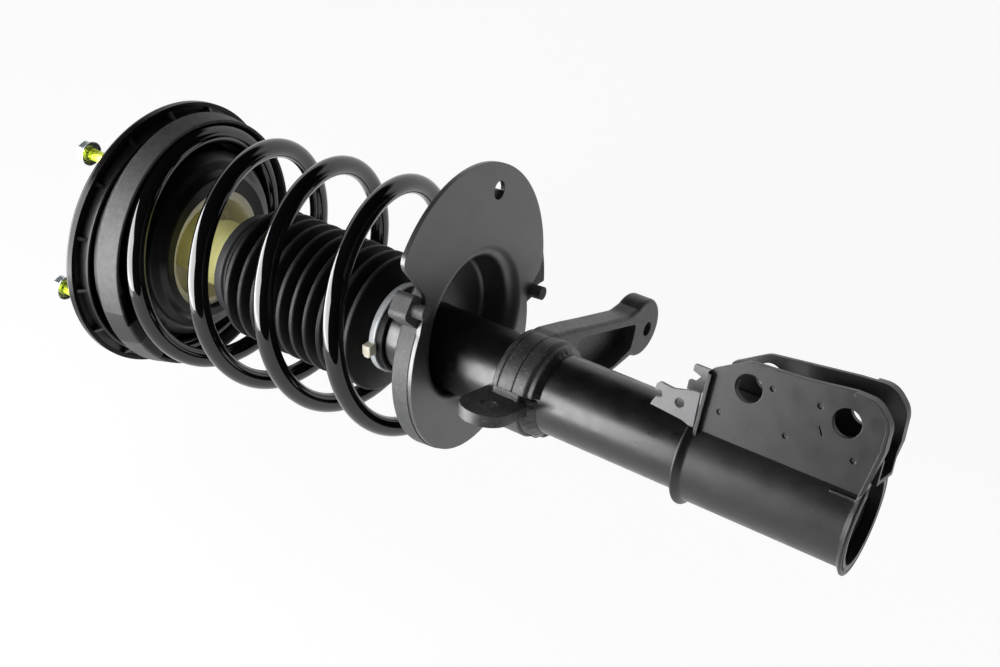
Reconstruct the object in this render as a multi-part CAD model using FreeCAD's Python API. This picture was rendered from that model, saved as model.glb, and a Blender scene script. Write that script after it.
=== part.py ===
import FreeCAD, Part

# Front suspension strut with its coil spring, top mount, steering arm and knuckle bracket.
# Millimetres. Z is the strut's axis, up through the top mount, and z = 0 is the face of the
# mount that bears on the car. A "drop" is a distance below that face. +X is the way that the
# ears of the knuckle bracket reach, and azimuths are degrees about +Z from +X.
# The spring leans on the strut's axis. What seats on it is drawn upright and then leant.

import math
import os

from FreeCAD import Placement, Rotation, Vector

os.makedirs("parts", exist_ok=True)

# Clearances
SEAT_GAP = 0.3       # between bodies that move on each other, and under a seated rubber
RUNNING_FIT = 0.08   # radial clearance of a sliding fit
LINER_GAP = 0.1      # between pieces of one body that are pressed or welded together

# Lean of the spring
LEAN = 4.07
LEAN_AZIMUTH = 30.4
PIVOT_DROP = 9.2     # where the spring's axis crosses the strut's axis

# Coil spring
WIRE = 13.0
COIL_RADIUS = 77.4
PITCH = 54.35
COIL_TURNS = 4.69
FIRST_TURN_AZIMUTH = 208.7   # of the upper end of the wire, which winds down clockwise
UPPER_CLOSING = 0.92         # turns over which the upper end gains its full pitch
LOWER_CLOSING = 0.6          # turns over which the lower end would lose it
LOWER_CLOSED = 0.47          # turns of that which the wire has
COIL_DROP = 24.75            # centre of the wire at its upper end
SEATED_TURNS = 0.8           # how much of each end lies in a rubber groove

# Top mount
MOUNT_RADIUS = 94.5
SHEET = 3.0
LIP_DROP = 7.7
RIM_BEND = 4.0
DOME_RADIUS = 58.0
DOME_TOP_RADIUS = 52.0
DOME_RISE = 11.0
BUSH_SEAT_RADIUS = 34.0
DRUM_RADIUS = 87.0
DRUM_WALL = 2.2
DRUM_DROP = 14.6
RIB_COUNT = 15
RIB_THICKNESS = 2.4
RIB_AZIMUTH = -82.4
RIB_BASE_DROP = 5.5

# Studs and nuts of the mount
STUD_CIRCLE = 156.0
STUD_AZIMUTHS = (-44.0, -119.5, 98.0)
STUD_RADIUS = 4.0
STUD_TOP = 35.0
STUD_HEAD_RADIUS = 6.5
STUD_HEAD = 2.8
NUT_SEAT = 23.5
NUT_FLANGE_RADIUS = 8.4
NUT_FLANGE = 1.8
NUT_FLATS = 13.0
NUT_HEX = 6.2
STUD_POINT = 2.8         # plain end of a stud, past the groove where its thread runs out
STUD_GROOVE = 0.6
STUD_GROOVE_DEPTH = 0.5

# Steering bearing
BALL_CIRCLE_RADIUS = 43.0
BALL_RADIUS = 3.7
BALL_COUNT = 10
BALL_HEIGHT = 2.4
RACE_WIDTH = 12.0
RACE_FACE_GAP = 2.6
LOWER_RACE_DEPTH = 5.8
CAGE_WIDTH = 10.8

# Rod, piston and damper tube
ROD_RADIUS = 11.0
ROD_END_RADIUS = 7.0
ROD_SHOULDER_DROP = 9.0
ROD_TOP = 33.0
SLEEVE_RADIUS = 12.0
SLEEVE_TOP = 14.0
WASHER_RADIUS = 19.0
WASHER = 3.0
ROD_NUT_FLATS = 22.0
ROD_NUT_HEIGHT = 12.0
PISTON_DROP = 305.0
PISTON_HEIGHT = 18.0
PISTON_STUD_RADIUS = 6.0
SHIM_STACK = 2.4
PISTON_NUT_HEIGHT = 8.0
PISTON_NUT_FLATS = 19.0
REBOUND_STOP_GAP = 2.5      # below the rod's guide at full rebound
REBOUND_STOP_RADIUS = 15.0
REBOUND_STOP_HEIGHT = 9.0
TUBE_RADIUS = 25.5
TUBE_WALL = 2.3
TUBE_TOP_DROP = 192.2
TUBE_BOTTOM_DROP = 525.0
CYLINDER_RADIUS = 16.0
CYLINDER_WALL = 1.5
GUIDE_DROP = 199.5
GUIDE_HEIGHT = 22.0
SEAL_HEIGHT = 5.0
CAP_WALL = 1.6
CAP_SKIRT = 9.0
FOOT_VALVE_HEIGHT = 16.0
END_CAP_WALL = 4.0
TRAVEL = 95.0

# Upper spring seat, cup and rubber
SEAT_SHEET = 2.5
SEAT_FLANGE_DROP = 13.3
SEAT_FLANGE_RADIUS = 83.5
PILOT_RADIUS = 68.5
PILOT_FOOT_RADIUS = 60.0
PILOT_FOOT_DROP = 41.5
DISH_RADIUS = 50.0
DISH_DROP = 47.2
HUB_RADIUS = 52.0
NECK_RADIUS = 42.2
NECK_WALL = 2.3
BAND_RADIUS = 89.5
BAND_FOOT_RADIUS = 86.8
BAND_TOP_DROP = 22.0
BAND_FOOT_DROP = 37.2
PAD_DROP = 21.0
STOP_ARC = 29.0
STOP_DROP = 39.0
CUP_WALL = 6.0
CUP_FOOT_DROP = 45.2
CUP_ROOF_DROP = 19.0
CUP_ROOF = 3.0

# Bumper and dust boot
BUMPER_NECK_RADIUS = 20.5
BUMPER_RADIUS = 27.0
BUMPER_BORE_RADIUS = 11.6
BOOT_TOP_DROP = 79.2
BOOT_COLLAR_RADIUS = 36.0
BOOT_COLLAR_HEIGHT = 6.5
BOOT_CREST_RADIUS = 45.5
BOOT_ROOT_RADIUS = 37.5
BOOT_BORE_RADIUS = 34.5
BOOT_RIBS = 10
BOOT_PITCH = 11.25
BOOT_FIRST_CREST_DROP = 99.7
BOOT_CREST_FLAT = 2.6
BOOT_ROOT_FLAT = 2.4
BOOT_NECK_DROP = 206.4
BOOT_NECK_HEIGHT = 10.8
BOOT_NECK_RADIUS = 28.2
TIE_INSET = 3.6              # of the tie's middle from the top of the boot's neck
TIE_WIDTH = 4.6
TIE_THICKNESS = 1.4
TIE_HEAD_AZIMUTH = -104.0
TIE_HEAD = (7.0, 6.5, 5.5)
TIE_TAIL = 14.0

# Lower spring seat and its rubber
PLATE_DROP = 261.2           # underside of the plate on the strut's axis
PLATE = 3.0
LOBE_CENTRE = (37.0, 0.0)
LOBE_RADIUS = 86.0
ROUND_CENTRE = (1.0, 8.0)
ROUND_RADIUS = 65.5
SHOULDERS = ((17.0, -54.0), (49.0, -50.0), (73.0, -78.0))
FAR_SHOULDERS = ((49.0, 86.5), (38.0, 82.5), (31.0, 75.0), (24.0, 66.0))
SHOULDER_ROUNDING = 8.0
MOUTH_ROUNDING = 9.0
CUP_MOUTH_RADIUS = 45.5
DRAWN_CUP_HEIGHT = 27.0
DRAWN_CUP_RADIUS = 46.0
SEAT_HOLE_RADIUS = 6.0
SEAT_HOLE_AZIMUTH = 11.0
SEAT_HOLE_DISTANCE = 105.0
PILOT_RING_WIDTH = 7.5
PILOT_RING_HEIGHT = 12.0
PILOT_RING_ARC = (80.0, 300.0)
LOWER_PAD_HEIGHT = 9.5
LOWER_PAD_ARC = (-50.0, 82.0)
PEG_RADIUS = 4.5
PEG_REACH = 6.0
NEAR_PEG = (41.5, -57.5)
FAR_PEG = (24.3, 80.5)
LUG_WIDTH = 17.0
LUG_HEIGHT = 12.5
LUG_ROUNDING = 4.0

# Steering arm
ARM_DROP = 302.8
ARM_HEIGHT = 16.6
ARM_BOSS = (9.8, 124.0)
ARM_BOSS_RADIUS = 20.2
ARM_ROUNDING = 2.5
POCKET_DEPTH = 12.0
TAPER_CENTRE = (8.0, 129.0)
TAPER_SMALL_RADIUS = 5.0
TAPER_LARGE_RADIUS = 6.2
COLLAR_RADIUS = 31.5
COLLAR_HEIGHT = 28.2
COLLAR_AZIMUTH = -83.5      # of its end face near the link's ear
COLLAR_ARC = 276.0
COLLAR_GROOVES = (4.2, 14.7)  # below the collar's top
COLLAR_GROOVE_DEPTH = 0.7
COLLAR_FOOT_RADIUS = 29.4
COLLAR_FOOT_HEIGHT = 5.0

# Ear for the anti-roll bar's link
LINK_AZIMUTH = -90.6
LINK_ROOT_AZIMUTH = -99.9
LINK_REACH = 34.0
LINK_RISE = 6.8              # of the ear's top above the collar's
LINK_HEIGHT = 32.6
LINK_THICKNESS = 7.5
LINK_HOLE_RADIUS = 5.25
LINK_HOLE_OUT = 15.6
SADDLE_RADIUS = 28.6
SADDLE_OFFSET = 3.4          # of its centre, away from the collar's end face
SADDLE_AZIMUTH = -155.0
SADDLE_HEIGHT = 20.0
SADDLE_GAP = 0.4             # degrees between saddle and collar
BEAD = 3.6

# Knuckle bracket
STRAP = 3.1
STRAP_TOP_DROP = 428.2
STRAP_BOTTOM_DROP = 533.0
STRAP_TILT = 4.9             # of its lower edge, which is lowest at the ears' near side
STRAP_TILT_AZIMUTH = -64.0
FLARE_RADIUS = 32.0
FLARE_DEPTH = 4.4
EAR = 3.2
NEAR_EAR_FACE = -18.4
EAR_GAP = 22.8
EAR_REACH = 77.0
EAR_TOP_DROP = 433.4
EAR_BOTTOM_DROP = 539.4
EAR_LIP = 3.2                # height of the edge that is turned outwards
EAR_LIP_BEND = 2.4
NEAR_EAR = (                 # corners as shares of reach and height, and what rounds them
    (0.208, -0.016), (0.765, -0.002, 3), (0.925, 0.2, 12), (0.948, 0.5, 80), (1.0, 0.784, 30),
    (0.993, 0.905, 12), (0.86, 0.998, 12), (0.66, 1.0, 10), (0.234, 0.944),
)
FAR_EAR = (
    (0.234, -0.012), (0.74, 0.004, 3), (0.896, 0.194, 12), (0.935, 0.42, 60), (0.981, 0.694, 30),
    (1.0, 0.883, 14), (0.86, 0.984, 14), (0.62, 0.989), (0.234, 0.945),
)
BOLT_HOLE_RADIUS = 8.3
BOLT_HOLES = ((56.0, 457.2), (58.0, 515.2))
DIMPLE_RADIUS = 1.7
DIMPLE_DEPTH = 0.8
DIMPLES = ((61.0, 470.7), (36.6, 443.7), (61.7, 498.8), (37.9, 483.7), (39.1, 523.4))
SLIT = (48.1, 502.4, 5.6, 0.7)
SLIT_TURN = 29.0
WEB_GAP = 3.4
WEB_LEG = 15.0
WEB_SHEET = 2.4
WEB_TOP_INSET = 6.0
WEB_FOOT_INSET = 1.2
HOSE_HOLE_RADIUS = 3.0
HOSE_HOLE = (34.3, 420.7)
HOSE_SHEET = 2.0
HOSE_PLATE = (               # corners about its hole, and what rounds them
    (-7.3, -17.7), (-1.8, -15.2), (-1.3, -11.2, 1.5), (3.7, -12.2, 1.5), (1.7, -16.2), (5.7, -16.3, 1),
    (7.7, -14.7, 3), (6.7, -5.7, 8), (10.2, 8.5), (10.2, 10.9), (-11.8, 10.9), (-9.3, 3.3),
)
CLIP_SHEET = 2.0
CLIP_NEAR = -6.0
CLIP_PLATE = (               # corners about the top of its foot
    (-11, -14), (-5, -14, 1), (-5, -10), (-1, -7), (1, -12.5), (5, -12.5, 1),
    (5, 16), (-2, 16), (-3, 0, 3), (-9, -2, 3), (-11, -8),
)
CLIP_PLACE = (48.0, 430.0)
CLIP_FOOT = 12.0

UP = Vector(0, 0, 1)
ORIGIN = Vector(0, 0, 0)
LEAN_AXIS = Vector(math.sin(math.radians(LEAN_AZIMUTH)), -math.cos(math.radians(LEAN_AZIMUTH)), 0)
LEAN_TURN = Rotation(LEAN_AXIS, LEAN)
WIRE_RADIUS = WIRE / 2
TUBE_BORE = TUBE_RADIUS - TUBE_WALL
FAR_EAR_FACE = NEAR_EAR_FACE + EAR + EAR_GAP + EAR
RACE_OUTER = BALL_CIRCLE_RADIUS + RACE_WIDTH / 2
RACE_INNER = BALL_CIRCLE_RADIUS - RACE_WIDTH / 2
HUB_TOP_DROP = LOWER_RACE_DEPTH - BALL_HEIGHT
GUIDE_FOOT_DROP = GUIDE_DROP + GUIDE_HEIGHT
REBOUND_STOP_DROP = GUIDE_FOOT_DROP + REBOUND_STOP_GAP
TIE_DROP = BOOT_NECK_DROP + TIE_INSET
LINK_DROP = ARM_DROP - LINK_RISE
COLLAR_FOOT_DROP = ARM_DROP + COLLAR_HEIGHT
VALVE_TOP_DROP = TUBE_BOTTOM_DROP - END_CAP_WALL - FOOT_VALVE_HEIGHT
CAP_TOP_DROP = TUBE_TOP_DROP - CAP_WALL
BUMPER_FOOT_DROP = CAP_TOP_DROP - TRAVEL - SEAT_GAP


def radial(r, z):
    """A point of a profile that is turned about Z."""
    return Vector(r, 0, z)


def plan(x, y):
    """A point of an outline that is extruded along Z."""
    return Vector(x, y, 0)


def outline(points, place):
    """Closed wire through the points. A third number is the radius that rounds that corner."""
    corners = [(place(p[0], p[1]), p[2] if len(p) > 2 else 0.0) for p in points]
    runs = []
    count = len(corners)
    for i, (corner, rounding) in enumerate(corners):
        before = corners[i - 1][0] - corner
        after = corners[(i + 1) % count][0] - corner
        if not rounding:
            runs.append((corner, None, corner))
            continue
        half = before.getAngle(after) / 2
        reach = rounding / math.tan(half)
        bisector = (before.normalize() + after.normalize()).normalize()
        middle = corner + bisector * (rounding / math.sin(half) - rounding)
        runs.append((corner + before * reach, middle, corner + after * reach))
    edges = []
    for i, (first, middle, last) in enumerate(runs):
        if middle is not None:
            edges.append(Part.Arc(first, middle, last).toShape())
        start = runs[(i + 1) % count][0]
        if last.distanceToPoint(start) > 1e-6:
            edges.append(Part.LineSegment(last, start).toShape())
    return Part.Wire(edges)


def turned(points, angle=360.0, start=0.0):
    """Solid of revolution about Z of a profile of radius and height."""
    face = Part.Face(outline(points, radial))
    face.rotate(ORIGIN, UP, start)
    return face.revolve(ORIGIN, UP, angle)


def ring(outer, inner, top, bottom):
    """Plain ring about Z between two heights."""
    return turned([(inner, bottom), (outer, bottom), (outer, top), (inner, top)])


def cylinder(radius, top, bottom, x=0.0, y=0.0):
    return Part.makeCylinder(radius, top - bottom, Vector(x, y, bottom), UP)


def slab(points, top, bottom):
    """Outline in plan, extruded between two heights."""
    face = Part.Face(outline(points, plan))
    face.translate(Vector(0, 0, bottom))
    return face.extrude(Vector(0, 0, top - bottom))


def upright(points, near, thickness):
    """Outline of x and drop, extruded along +Y from y = near."""
    face = Part.Face(outline(points, lambda x, drop: Vector(x, near, -drop)))
    return face.extrude(Vector(0, thickness, 0))


def hexagon(flats, top, bottom, x=0.0, y=0.0):
    corner = flats / math.sqrt(3)
    angles = [math.radians(60 * k) for k in range(6)]
    return slab([(x + corner * math.cos(a), y + corner * math.sin(a)) for a in angles], top, bottom)


def on_circle(radius, azimuth):
    a = math.radians(azimuth)
    return Vector(radius * math.cos(a), radius * math.sin(a), 0)


def leant(shape):
    """What is drawn round Z, moved onto the spring's axis."""
    moved = shape.copy()
    moved.Placement = Placement(ORIGIN, LEAN_TURN, Vector(0, 0, -PIVOT_DROP))
    return moved


def on_plate(shape):
    """What is drawn with the lower seat's underside at z = 0, moved to that seat."""
    moved = shape.copy()
    moved.Placement = Placement(Vector(0, 0, -PLATE_DROP), LEAN_TURN)
    return moved


def fused(first, *others):
    return first.fuse(list(others)).removeSplitter()


def save(name, *solids):
    """Writes one node. Each solid stays a separate one in its file."""
    found = [s for shape in solids for s in shape.Solids]
    assert found and all(s.isValid() for s in found), name
    whole = found[0] if len(found) == 1 else Part.makeCompound(found)
    whole.exportStep(f"parts/{name}.step")


def coil_point(turn):
    """Centre of the wire that many turns from its upper end, on an upright spring."""
    drop = COIL_DROP + PITCH * min(turn, UPPER_CLOSING) ** 2 / (2 * UPPER_CLOSING)
    drop += PITCH * max(turn - UPPER_CLOSING, 0.0)
    lower = max(turn - (COIL_TURNS - LOWER_CLOSED), 0.0)
    drop -= PITCH * lower ** 2 / (2 * LOWER_CLOSING)
    return on_circle(COIL_RADIUS, FIRST_TURN_AZIMUTH - 360 * turn) - UP * drop


def coil_direction(turn):
    step = 1e-4
    return (coil_point(turn + step) - coil_point(turn - step)).normalize()


def arc_from(start, direction, end):
    """Arc that leaves start along direction and reaches end."""
    chord = end - start
    half = chord.getAngle(direction)
    side = (direction - chord * (direction.dot(chord) / chord.Length ** 2)).normalize()
    middle = start + chord * 0.5 + side * (chord.Length / 2 * math.tan(half / 2))
    return Part.Arc(start, middle, end).toShape()


def biarc(start, start_direction, end, end_direction):
    """Two tangent arcs between two points with those directions."""
    v = end - start
    t = start_direction + end_direction
    spread = 2 * (1 - start_direction.dot(end_direction))
    reach = (math.sqrt(v.dot(t) ** 2 + spread * v.dot(v)) - v.dot(t)) / spread
    joint = (start + end) * 0.5 + (start_direction - end_direction) * (reach / 2)
    first = arc_from(start, start_direction, joint)
    last = arc_from(end, end_direction * -1, joint)
    return [first, last]


def coil_path(first, last):
    """The wire's centre line between two turns, in biarcs of about a quarter turn."""
    spans = max(1, round((last - first) * 4))
    turns = [first + (last - first) * k / spans for k in range(spans + 1)]
    edges = []
    for a, b in zip(turns, turns[1:]):
        edges += biarc(coil_point(a), coil_direction(a), coil_point(b), coil_direction(b))
    return Part.Wire(Part.__sortEdges__(edges))


def tube_along(path, radius, start, direction):
    section = Part.Wire([Part.makeCircle(radius, start, direction)])
    return path.makePipeShell([section], True, False)


def coil_tube(first, last, radius):
    return tube_along(coil_path(first, last), radius, coil_point(first), coil_direction(first))


def coil_spring():
    samples = [coil_point(k / 72) for k in range(int(COIL_TURNS * 72) + 1)]
    gap = min(a.distanceToPoint(b) for i, a in enumerate(samples) for b in samples[i + 36:]) - WIRE
    print(f"least gap of the wire to itself {gap:.2f} mm")
    save("coil_spring", leant(coil_tube(0.0, COIL_TURNS, WIRE_RADIUS)))


def wire_groove(upper):
    """The room that one end of the wire needs in a rubber seat."""
    room = WIRE_RADIUS + SEAT_GAP
    if upper:
        return leant(coil_tube(-0.004, SEATED_TURNS, room))
    return leant(coil_tube(COIL_TURNS - SEATED_TURNS, COIL_TURNS + 0.004, room))


def stud_places():
    return [on_circle(STUD_CIRCLE / 2, azimuth) for azimuth in STUD_AZIMUTHS]


def mount_plate():
    lip_inner = MOUNT_RADIUS - SHEET
    dome_under = DOME_RISE - SHEET
    body = turned([
        (DOME_RADIUS, 0, 5), (MOUNT_RADIUS, 0, RIM_BEND), (MOUNT_RADIUS, -LIP_DROP),
        (lip_inner, -LIP_DROP), (lip_inner, -SHEET, 1.2), (DOME_RADIUS - SHEET, -SHEET, 5),
        (DOME_TOP_RADIUS - SHEET + 1.5, dome_under, 2), (BUSH_SEAT_RADIUS, dome_under),
        (BUSH_SEAT_RADIUS, DOME_RISE), (DOME_TOP_RADIUS, DOME_RISE, 4),
    ])
    holes = [cylinder(STUD_RADIUS + LINER_GAP, SHEET, -2 * SHEET, p.x, p.y) for p in stud_places()]
    save("mount_plate", body.cut(holes))


def mount_rib_ring():
    inner = DRUM_RADIUS - DRUM_WALL
    rim = MOUNT_RADIUS - SHEET - LINER_GAP
    body = turned([
        (inner, -SHEET - LINER_GAP), (rim, -SHEET - LINER_GAP, 1.6), (rim, -RIB_BASE_DROP),
        (DRUM_RADIUS, -RIB_BASE_DROP), (DRUM_RADIUS, -DRUM_DROP, 0.8), (inner, -DRUM_DROP, 0.8),
    ])
    fin = upright([
        (DRUM_RADIUS - DRUM_WALL / 2, RIB_BASE_DROP - 1), (rim, RIB_BASE_DROP - 1),
        (rim, LIP_DROP), (DRUM_RADIUS - DRUM_WALL / 2, DRUM_DROP - 1.2),
    ], -RIB_THICKNESS / 2, RIB_THICKNESS)
    fins = []
    for k in range(RIB_COUNT):
        copy = fin.copy()
        copy.rotate(ORIGIN, UP, RIB_AZIMUTH + 360 / RIB_COUNT * k)
        fins.append(copy)
    save("mount_rib_ring", fused(body, *fins))


def tower_studs():
    studs = []
    for p in stud_places():
        shank = cylinder(STUD_RADIUS, STUD_TOP, -SHEET - LINER_GAP, p.x, p.y)
        groove_top = STUD_TOP - STUD_POINT
        groove = ring(2 * STUD_RADIUS, STUD_RADIUS - STUD_GROOVE_DEPTH, groove_top, groove_top - STUD_GROOVE)
        groove.translate(p)
        head = cylinder(STUD_HEAD_RADIUS, -SHEET - LINER_GAP, -SHEET - STUD_HEAD, p.x, p.y)
        studs.append(fused(shank, head).cut(groove))
    save("tower_studs", *studs)


def tower_nuts():
    nuts = []
    for p in stud_places():
        flange_top = NUT_SEAT + NUT_FLANGE
        flange = cylinder(NUT_FLANGE_RADIUS, flange_top, NUT_SEAT, p.x, p.y)
        body = hexagon(NUT_FLATS, flange_top + NUT_HEX, flange_top - 0.5, p.x, p.y)
        thread = cylinder(STUD_RADIUS + LINER_GAP, STUD_TOP, NUT_SEAT - 1, p.x, p.y)
        nuts.append(fused(flange, body).cut(thread))
    save("tower_nuts", *nuts)


def mount_bush():
    bore = SLEEVE_RADIUS + LINER_GAP
    under = DOME_RISE - SHEET - LINER_GAP
    groove = BUSH_SEAT_RADIUS - LINER_GAP
    save("mount_bush", turned([
        (bore, -4), (23, -4, 3), (32, under - 3.4), (RACE_INNER - 0.6, under - 3.4),
        (RACE_INNER - 0.6, under), (groove, under), (groove, DOME_RISE + LINER_GAP),
        (groove + 4, DOME_RISE + LINER_GAP), (groove + 4, DOME_RISE + 4, 1.5), (bore, SLEEVE_TOP - 1),
    ]))


def bush_sleeve():
    foot = WASHER - ROD_SHOULDER_DROP
    save("bush_sleeve", ring(SLEEVE_RADIUS, ROD_END_RADIUS + LINER_GAP, SLEEVE_TOP, foot))


def rod_washers():
    bore = ROD_END_RADIUS + LINER_GAP
    lower = ring(WASHER_RADIUS, bore, WASHER - ROD_SHOULDER_DROP, -ROD_SHOULDER_DROP)
    upper = ring(WASHER_RADIUS, bore, SLEEVE_TOP + WASHER, SLEEVE_TOP)
    save("rod_washers", lower, upper)


def rod_nut():
    bottom = SLEEVE_TOP + WASHER
    body = hexagon(ROD_NUT_FLATS, bottom + ROD_NUT_HEIGHT, bottom)
    save("rod_nut", body.cut(cylinder(ROD_END_RADIUS + LINER_GAP, ROD_TOP, bottom - 1)))


def ball_track():
    return Part.makeTorus(BALL_CIRCLE_RADIUS, BALL_RADIUS + SEAT_GAP, Vector(0, 0, BALL_HEIGHT))


def bearing_upper_race():
    top = DOME_RISE - SHEET
    bottom = BALL_HEIGHT + RACE_FACE_GAP / 2
    save("bearing_upper_race", ring(RACE_OUTER, RACE_INNER, top, bottom).cut(ball_track()))


def bearing_lower_race():
    top = BALL_HEIGHT - RACE_FACE_GAP / 2
    bottom = -HUB_TOP_DROP
    save("bearing_lower_race", ring(RACE_OUTER, RACE_INNER, top, bottom).cut(ball_track()))


def ball_places():
    return [on_circle(BALL_CIRCLE_RADIUS, 360 / BALL_COUNT * k) for k in range(BALL_COUNT)]


def bearing_cage():
    half = RACE_FACE_GAP / 2 - SEAT_GAP
    outer = BALL_CIRCLE_RADIUS + CAGE_WIDTH / 2
    inner = BALL_CIRCLE_RADIUS - CAGE_WIDTH / 2
    body = ring(outer, inner, BALL_HEIGHT + half, BALL_HEIGHT - half)
    room = BALL_RADIUS + 2 * LINER_GAP
    pockets = [cylinder(room, 2 * BALL_HEIGHT, 0, p.x, p.y) for p in ball_places()]
    save("bearing_cage", body.cut(pockets))


def bearing_balls():
    height = UP * BALL_HEIGHT
    save("bearing_balls", *[Part.makeSphere(BALL_RADIUS, p + height) for p in ball_places()])


def upper_spring_seat():
    flange_foot = SEAT_FLANGE_DROP + SEAT_SHEET
    pressing = leant(turned([
        (SEAT_FLANGE_RADIUS, -SEAT_FLANGE_DROP), (SEAT_FLANGE_RADIUS, -flange_foot),
        (PILOT_RADIUS, -flange_foot, 2), (PILOT_RADIUS - 2, -PILOT_FOOT_DROP + 8, 8),
        (PILOT_FOOT_RADIUS, -PILOT_FOOT_DROP, 5), (DISH_RADIUS + 4, -PILOT_FOOT_DROP - 2, 2),
        (DISH_RADIUS, -DISH_DROP, 3), (NECK_RADIUS - 3, -DISH_DROP),
        (NECK_RADIUS - 3, -DISH_DROP + SEAT_SHEET), (DISH_RADIUS - 2, -DISH_DROP + SEAT_SHEET, 2),
        (DISH_RADIUS + 3, -PILOT_FOOT_DROP + 0.8, 2),
        (PILOT_FOOT_RADIUS - 3, -PILOT_FOOT_DROP + 2.5, 4),
        (PILOT_RADIUS - 2 - SEAT_SHEET, -PILOT_FOOT_DROP + 9, 8),
        (PILOT_RADIUS - SEAT_SHEET, -SEAT_FLANGE_DROP, 3),
    ]))
    neck_outer = NECK_RADIUS + NECK_WALL
    hub_foot = -HUB_TOP_DROP - SEAT_SHEET
    hub = turned([
        (NECK_RADIUS, -HUB_TOP_DROP), (HUB_RADIUS, -HUB_TOP_DROP), (HUB_RADIUS, hub_foot),
        (neck_outer, hub_foot, 2), (neck_outer, -DISH_DROP - 6), (NECK_RADIUS, -DISH_DROP - 6),
    ])
    below = leant(cylinder(2 * DISH_RADIUS, -DISH_DROP + SEAT_SHEET / 2, -DISH_DROP - 30))
    body = fused(pressing, hub.cut(below))
    bore = cylinder(NECK_RADIUS, 0, -DISH_DROP - 10)
    save("upper_spring_seat", body.cut(bore))


def upper_isolator():
    pad_top = -SEAT_FLANGE_DROP - SEAT_SHEET
    inner = PILOT_RADIUS + SEAT_GAP
    edge = SEAT_FLANGE_RADIUS + SEAT_GAP
    band_inner = COIL_RADIUS + WIRE_RADIUS + 2 * SEAT_GAP
    rubber = leant(turned([
        (inner, pad_top, 2.6), (edge, pad_top), (edge, -BAND_TOP_DROP + 1.2),
        (BAND_RADIUS, -BAND_TOP_DROP, 1), (BAND_FOOT_RADIUS, -BAND_FOOT_DROP, 0.8),
        (band_inner, -BAND_FOOT_DROP, 0.8), (band_inner, -COIL_DROP), (edge - 3, -PAD_DROP), (inner, -PAD_DROP),
    ]))
    stop = leant(turned([
        (inner + 1, -PAD_DROP + 2), (BAND_FOOT_RADIUS, -PAD_DROP + 2),
        (BAND_FOOT_RADIUS, -STOP_DROP, 2), (inner + 1, -STOP_DROP, 3),
    ], STOP_ARC, FIRST_TURN_AZIMUTH + 1.8))
    save("upper_isolator", fused(rubber, stop).cut(wire_groove(True)))


def bumper_cup():
    outer = NECK_RADIUS - LINER_GAP
    inner = NECK_RADIUS - CUP_WALL
    bore = ROD_RADIUS + 2 * SEAT_GAP
    save("bumper_cup", turned([
        (bore, -CUP_ROOF_DROP), (outer, -CUP_ROOF_DROP, 2), (outer, -CUP_FOOT_DROP, 1.2),
        (inner, -CUP_FOOT_DROP, 1.2), (inner, -CUP_ROOF_DROP - CUP_ROOF, 2),
        (bore, -CUP_ROOF_DROP - CUP_ROOF),
    ]))


def jounce_bumper():
    top = -CUP_ROOF_DROP - CUP_ROOF - SEAT_GAP
    seat = -BOOT_TOP_DROP + 5
    foot = -BUMPER_FOOT_DROP
    save("jounce_bumper", turned([
        (BUMPER_BORE_RADIUS, top), (BUMPER_NECK_RADIUS, top, 2), (BUMPER_NECK_RADIUS, top - 28, 6),
        (BUMPER_RADIUS, seat, 4), (BUMPER_RADIUS, -BOOT_TOP_DROP - 8), (BUMPER_RADIUS - 3, foot + 5, 2),
        (BUMPER_RADIUS - 6, foot, 2), (BUMPER_BORE_RADIUS, foot),
    ]))


def stacked(sections):
    """Ruled loft up through circles about Z, each of a radius and a drop."""
    circles = [Part.Wire([Part.makeCircle(r, Vector(0, 0, -drop), UP)]) for r, drop in sections]
    return Part.makeLoft(circles, True, True)


def dust_boot():
    neck_foot = BOOT_NECK_DROP + BOOT_NECK_HEIGHT
    outside = [(BOOT_NECK_RADIUS, neck_foot), (BOOT_NECK_RADIUS, BOOT_NECK_DROP)]
    for k in reversed(range(BOOT_RIBS)):
        crest = BOOT_FIRST_CREST_DROP + BOOT_PITCH * k
        if k < BOOT_RIBS - 1:
            root = crest + BOOT_PITCH / 2
            outside.append((BOOT_ROOT_RADIUS, root + BOOT_ROOT_FLAT / 2))
            outside.append((BOOT_ROOT_RADIUS, root - BOOT_ROOT_FLAT / 2))
        outside.append((BOOT_CREST_RADIUS, crest + BOOT_CREST_FLAT / 2))
        outside.append((BOOT_CREST_RADIUS, crest - BOOT_CREST_FLAT / 2))
    collar_foot = BOOT_TOP_DROP + BOOT_COLLAR_HEIGHT
    outside += [(BOOT_ROOT_RADIUS + 2, BOOT_FIRST_CREST_DROP - 6), (BOOT_COLLAR_RADIUS, collar_foot)]
    outside.append((BOOT_COLLAR_RADIUS, BOOT_TOP_DROP))
    collar_bore = BUMPER_RADIUS + SEAT_GAP
    neck_bore = TUBE_RADIUS + SEAT_GAP
    inside = [
        (neck_bore, neck_foot + 1), (neck_bore, BOOT_NECK_DROP + 1),
        (BOOT_BORE_RADIUS, BOOT_NECK_DROP - 5), (BOOT_BORE_RADIUS, BOOT_FIRST_CREST_DROP - 4),
        (collar_bore, collar_foot + 2), (collar_bore, BOOT_TOP_DROP - 1),
    ]
    save("dust_boot", stacked(outside).cut(stacked(inside)))


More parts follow.
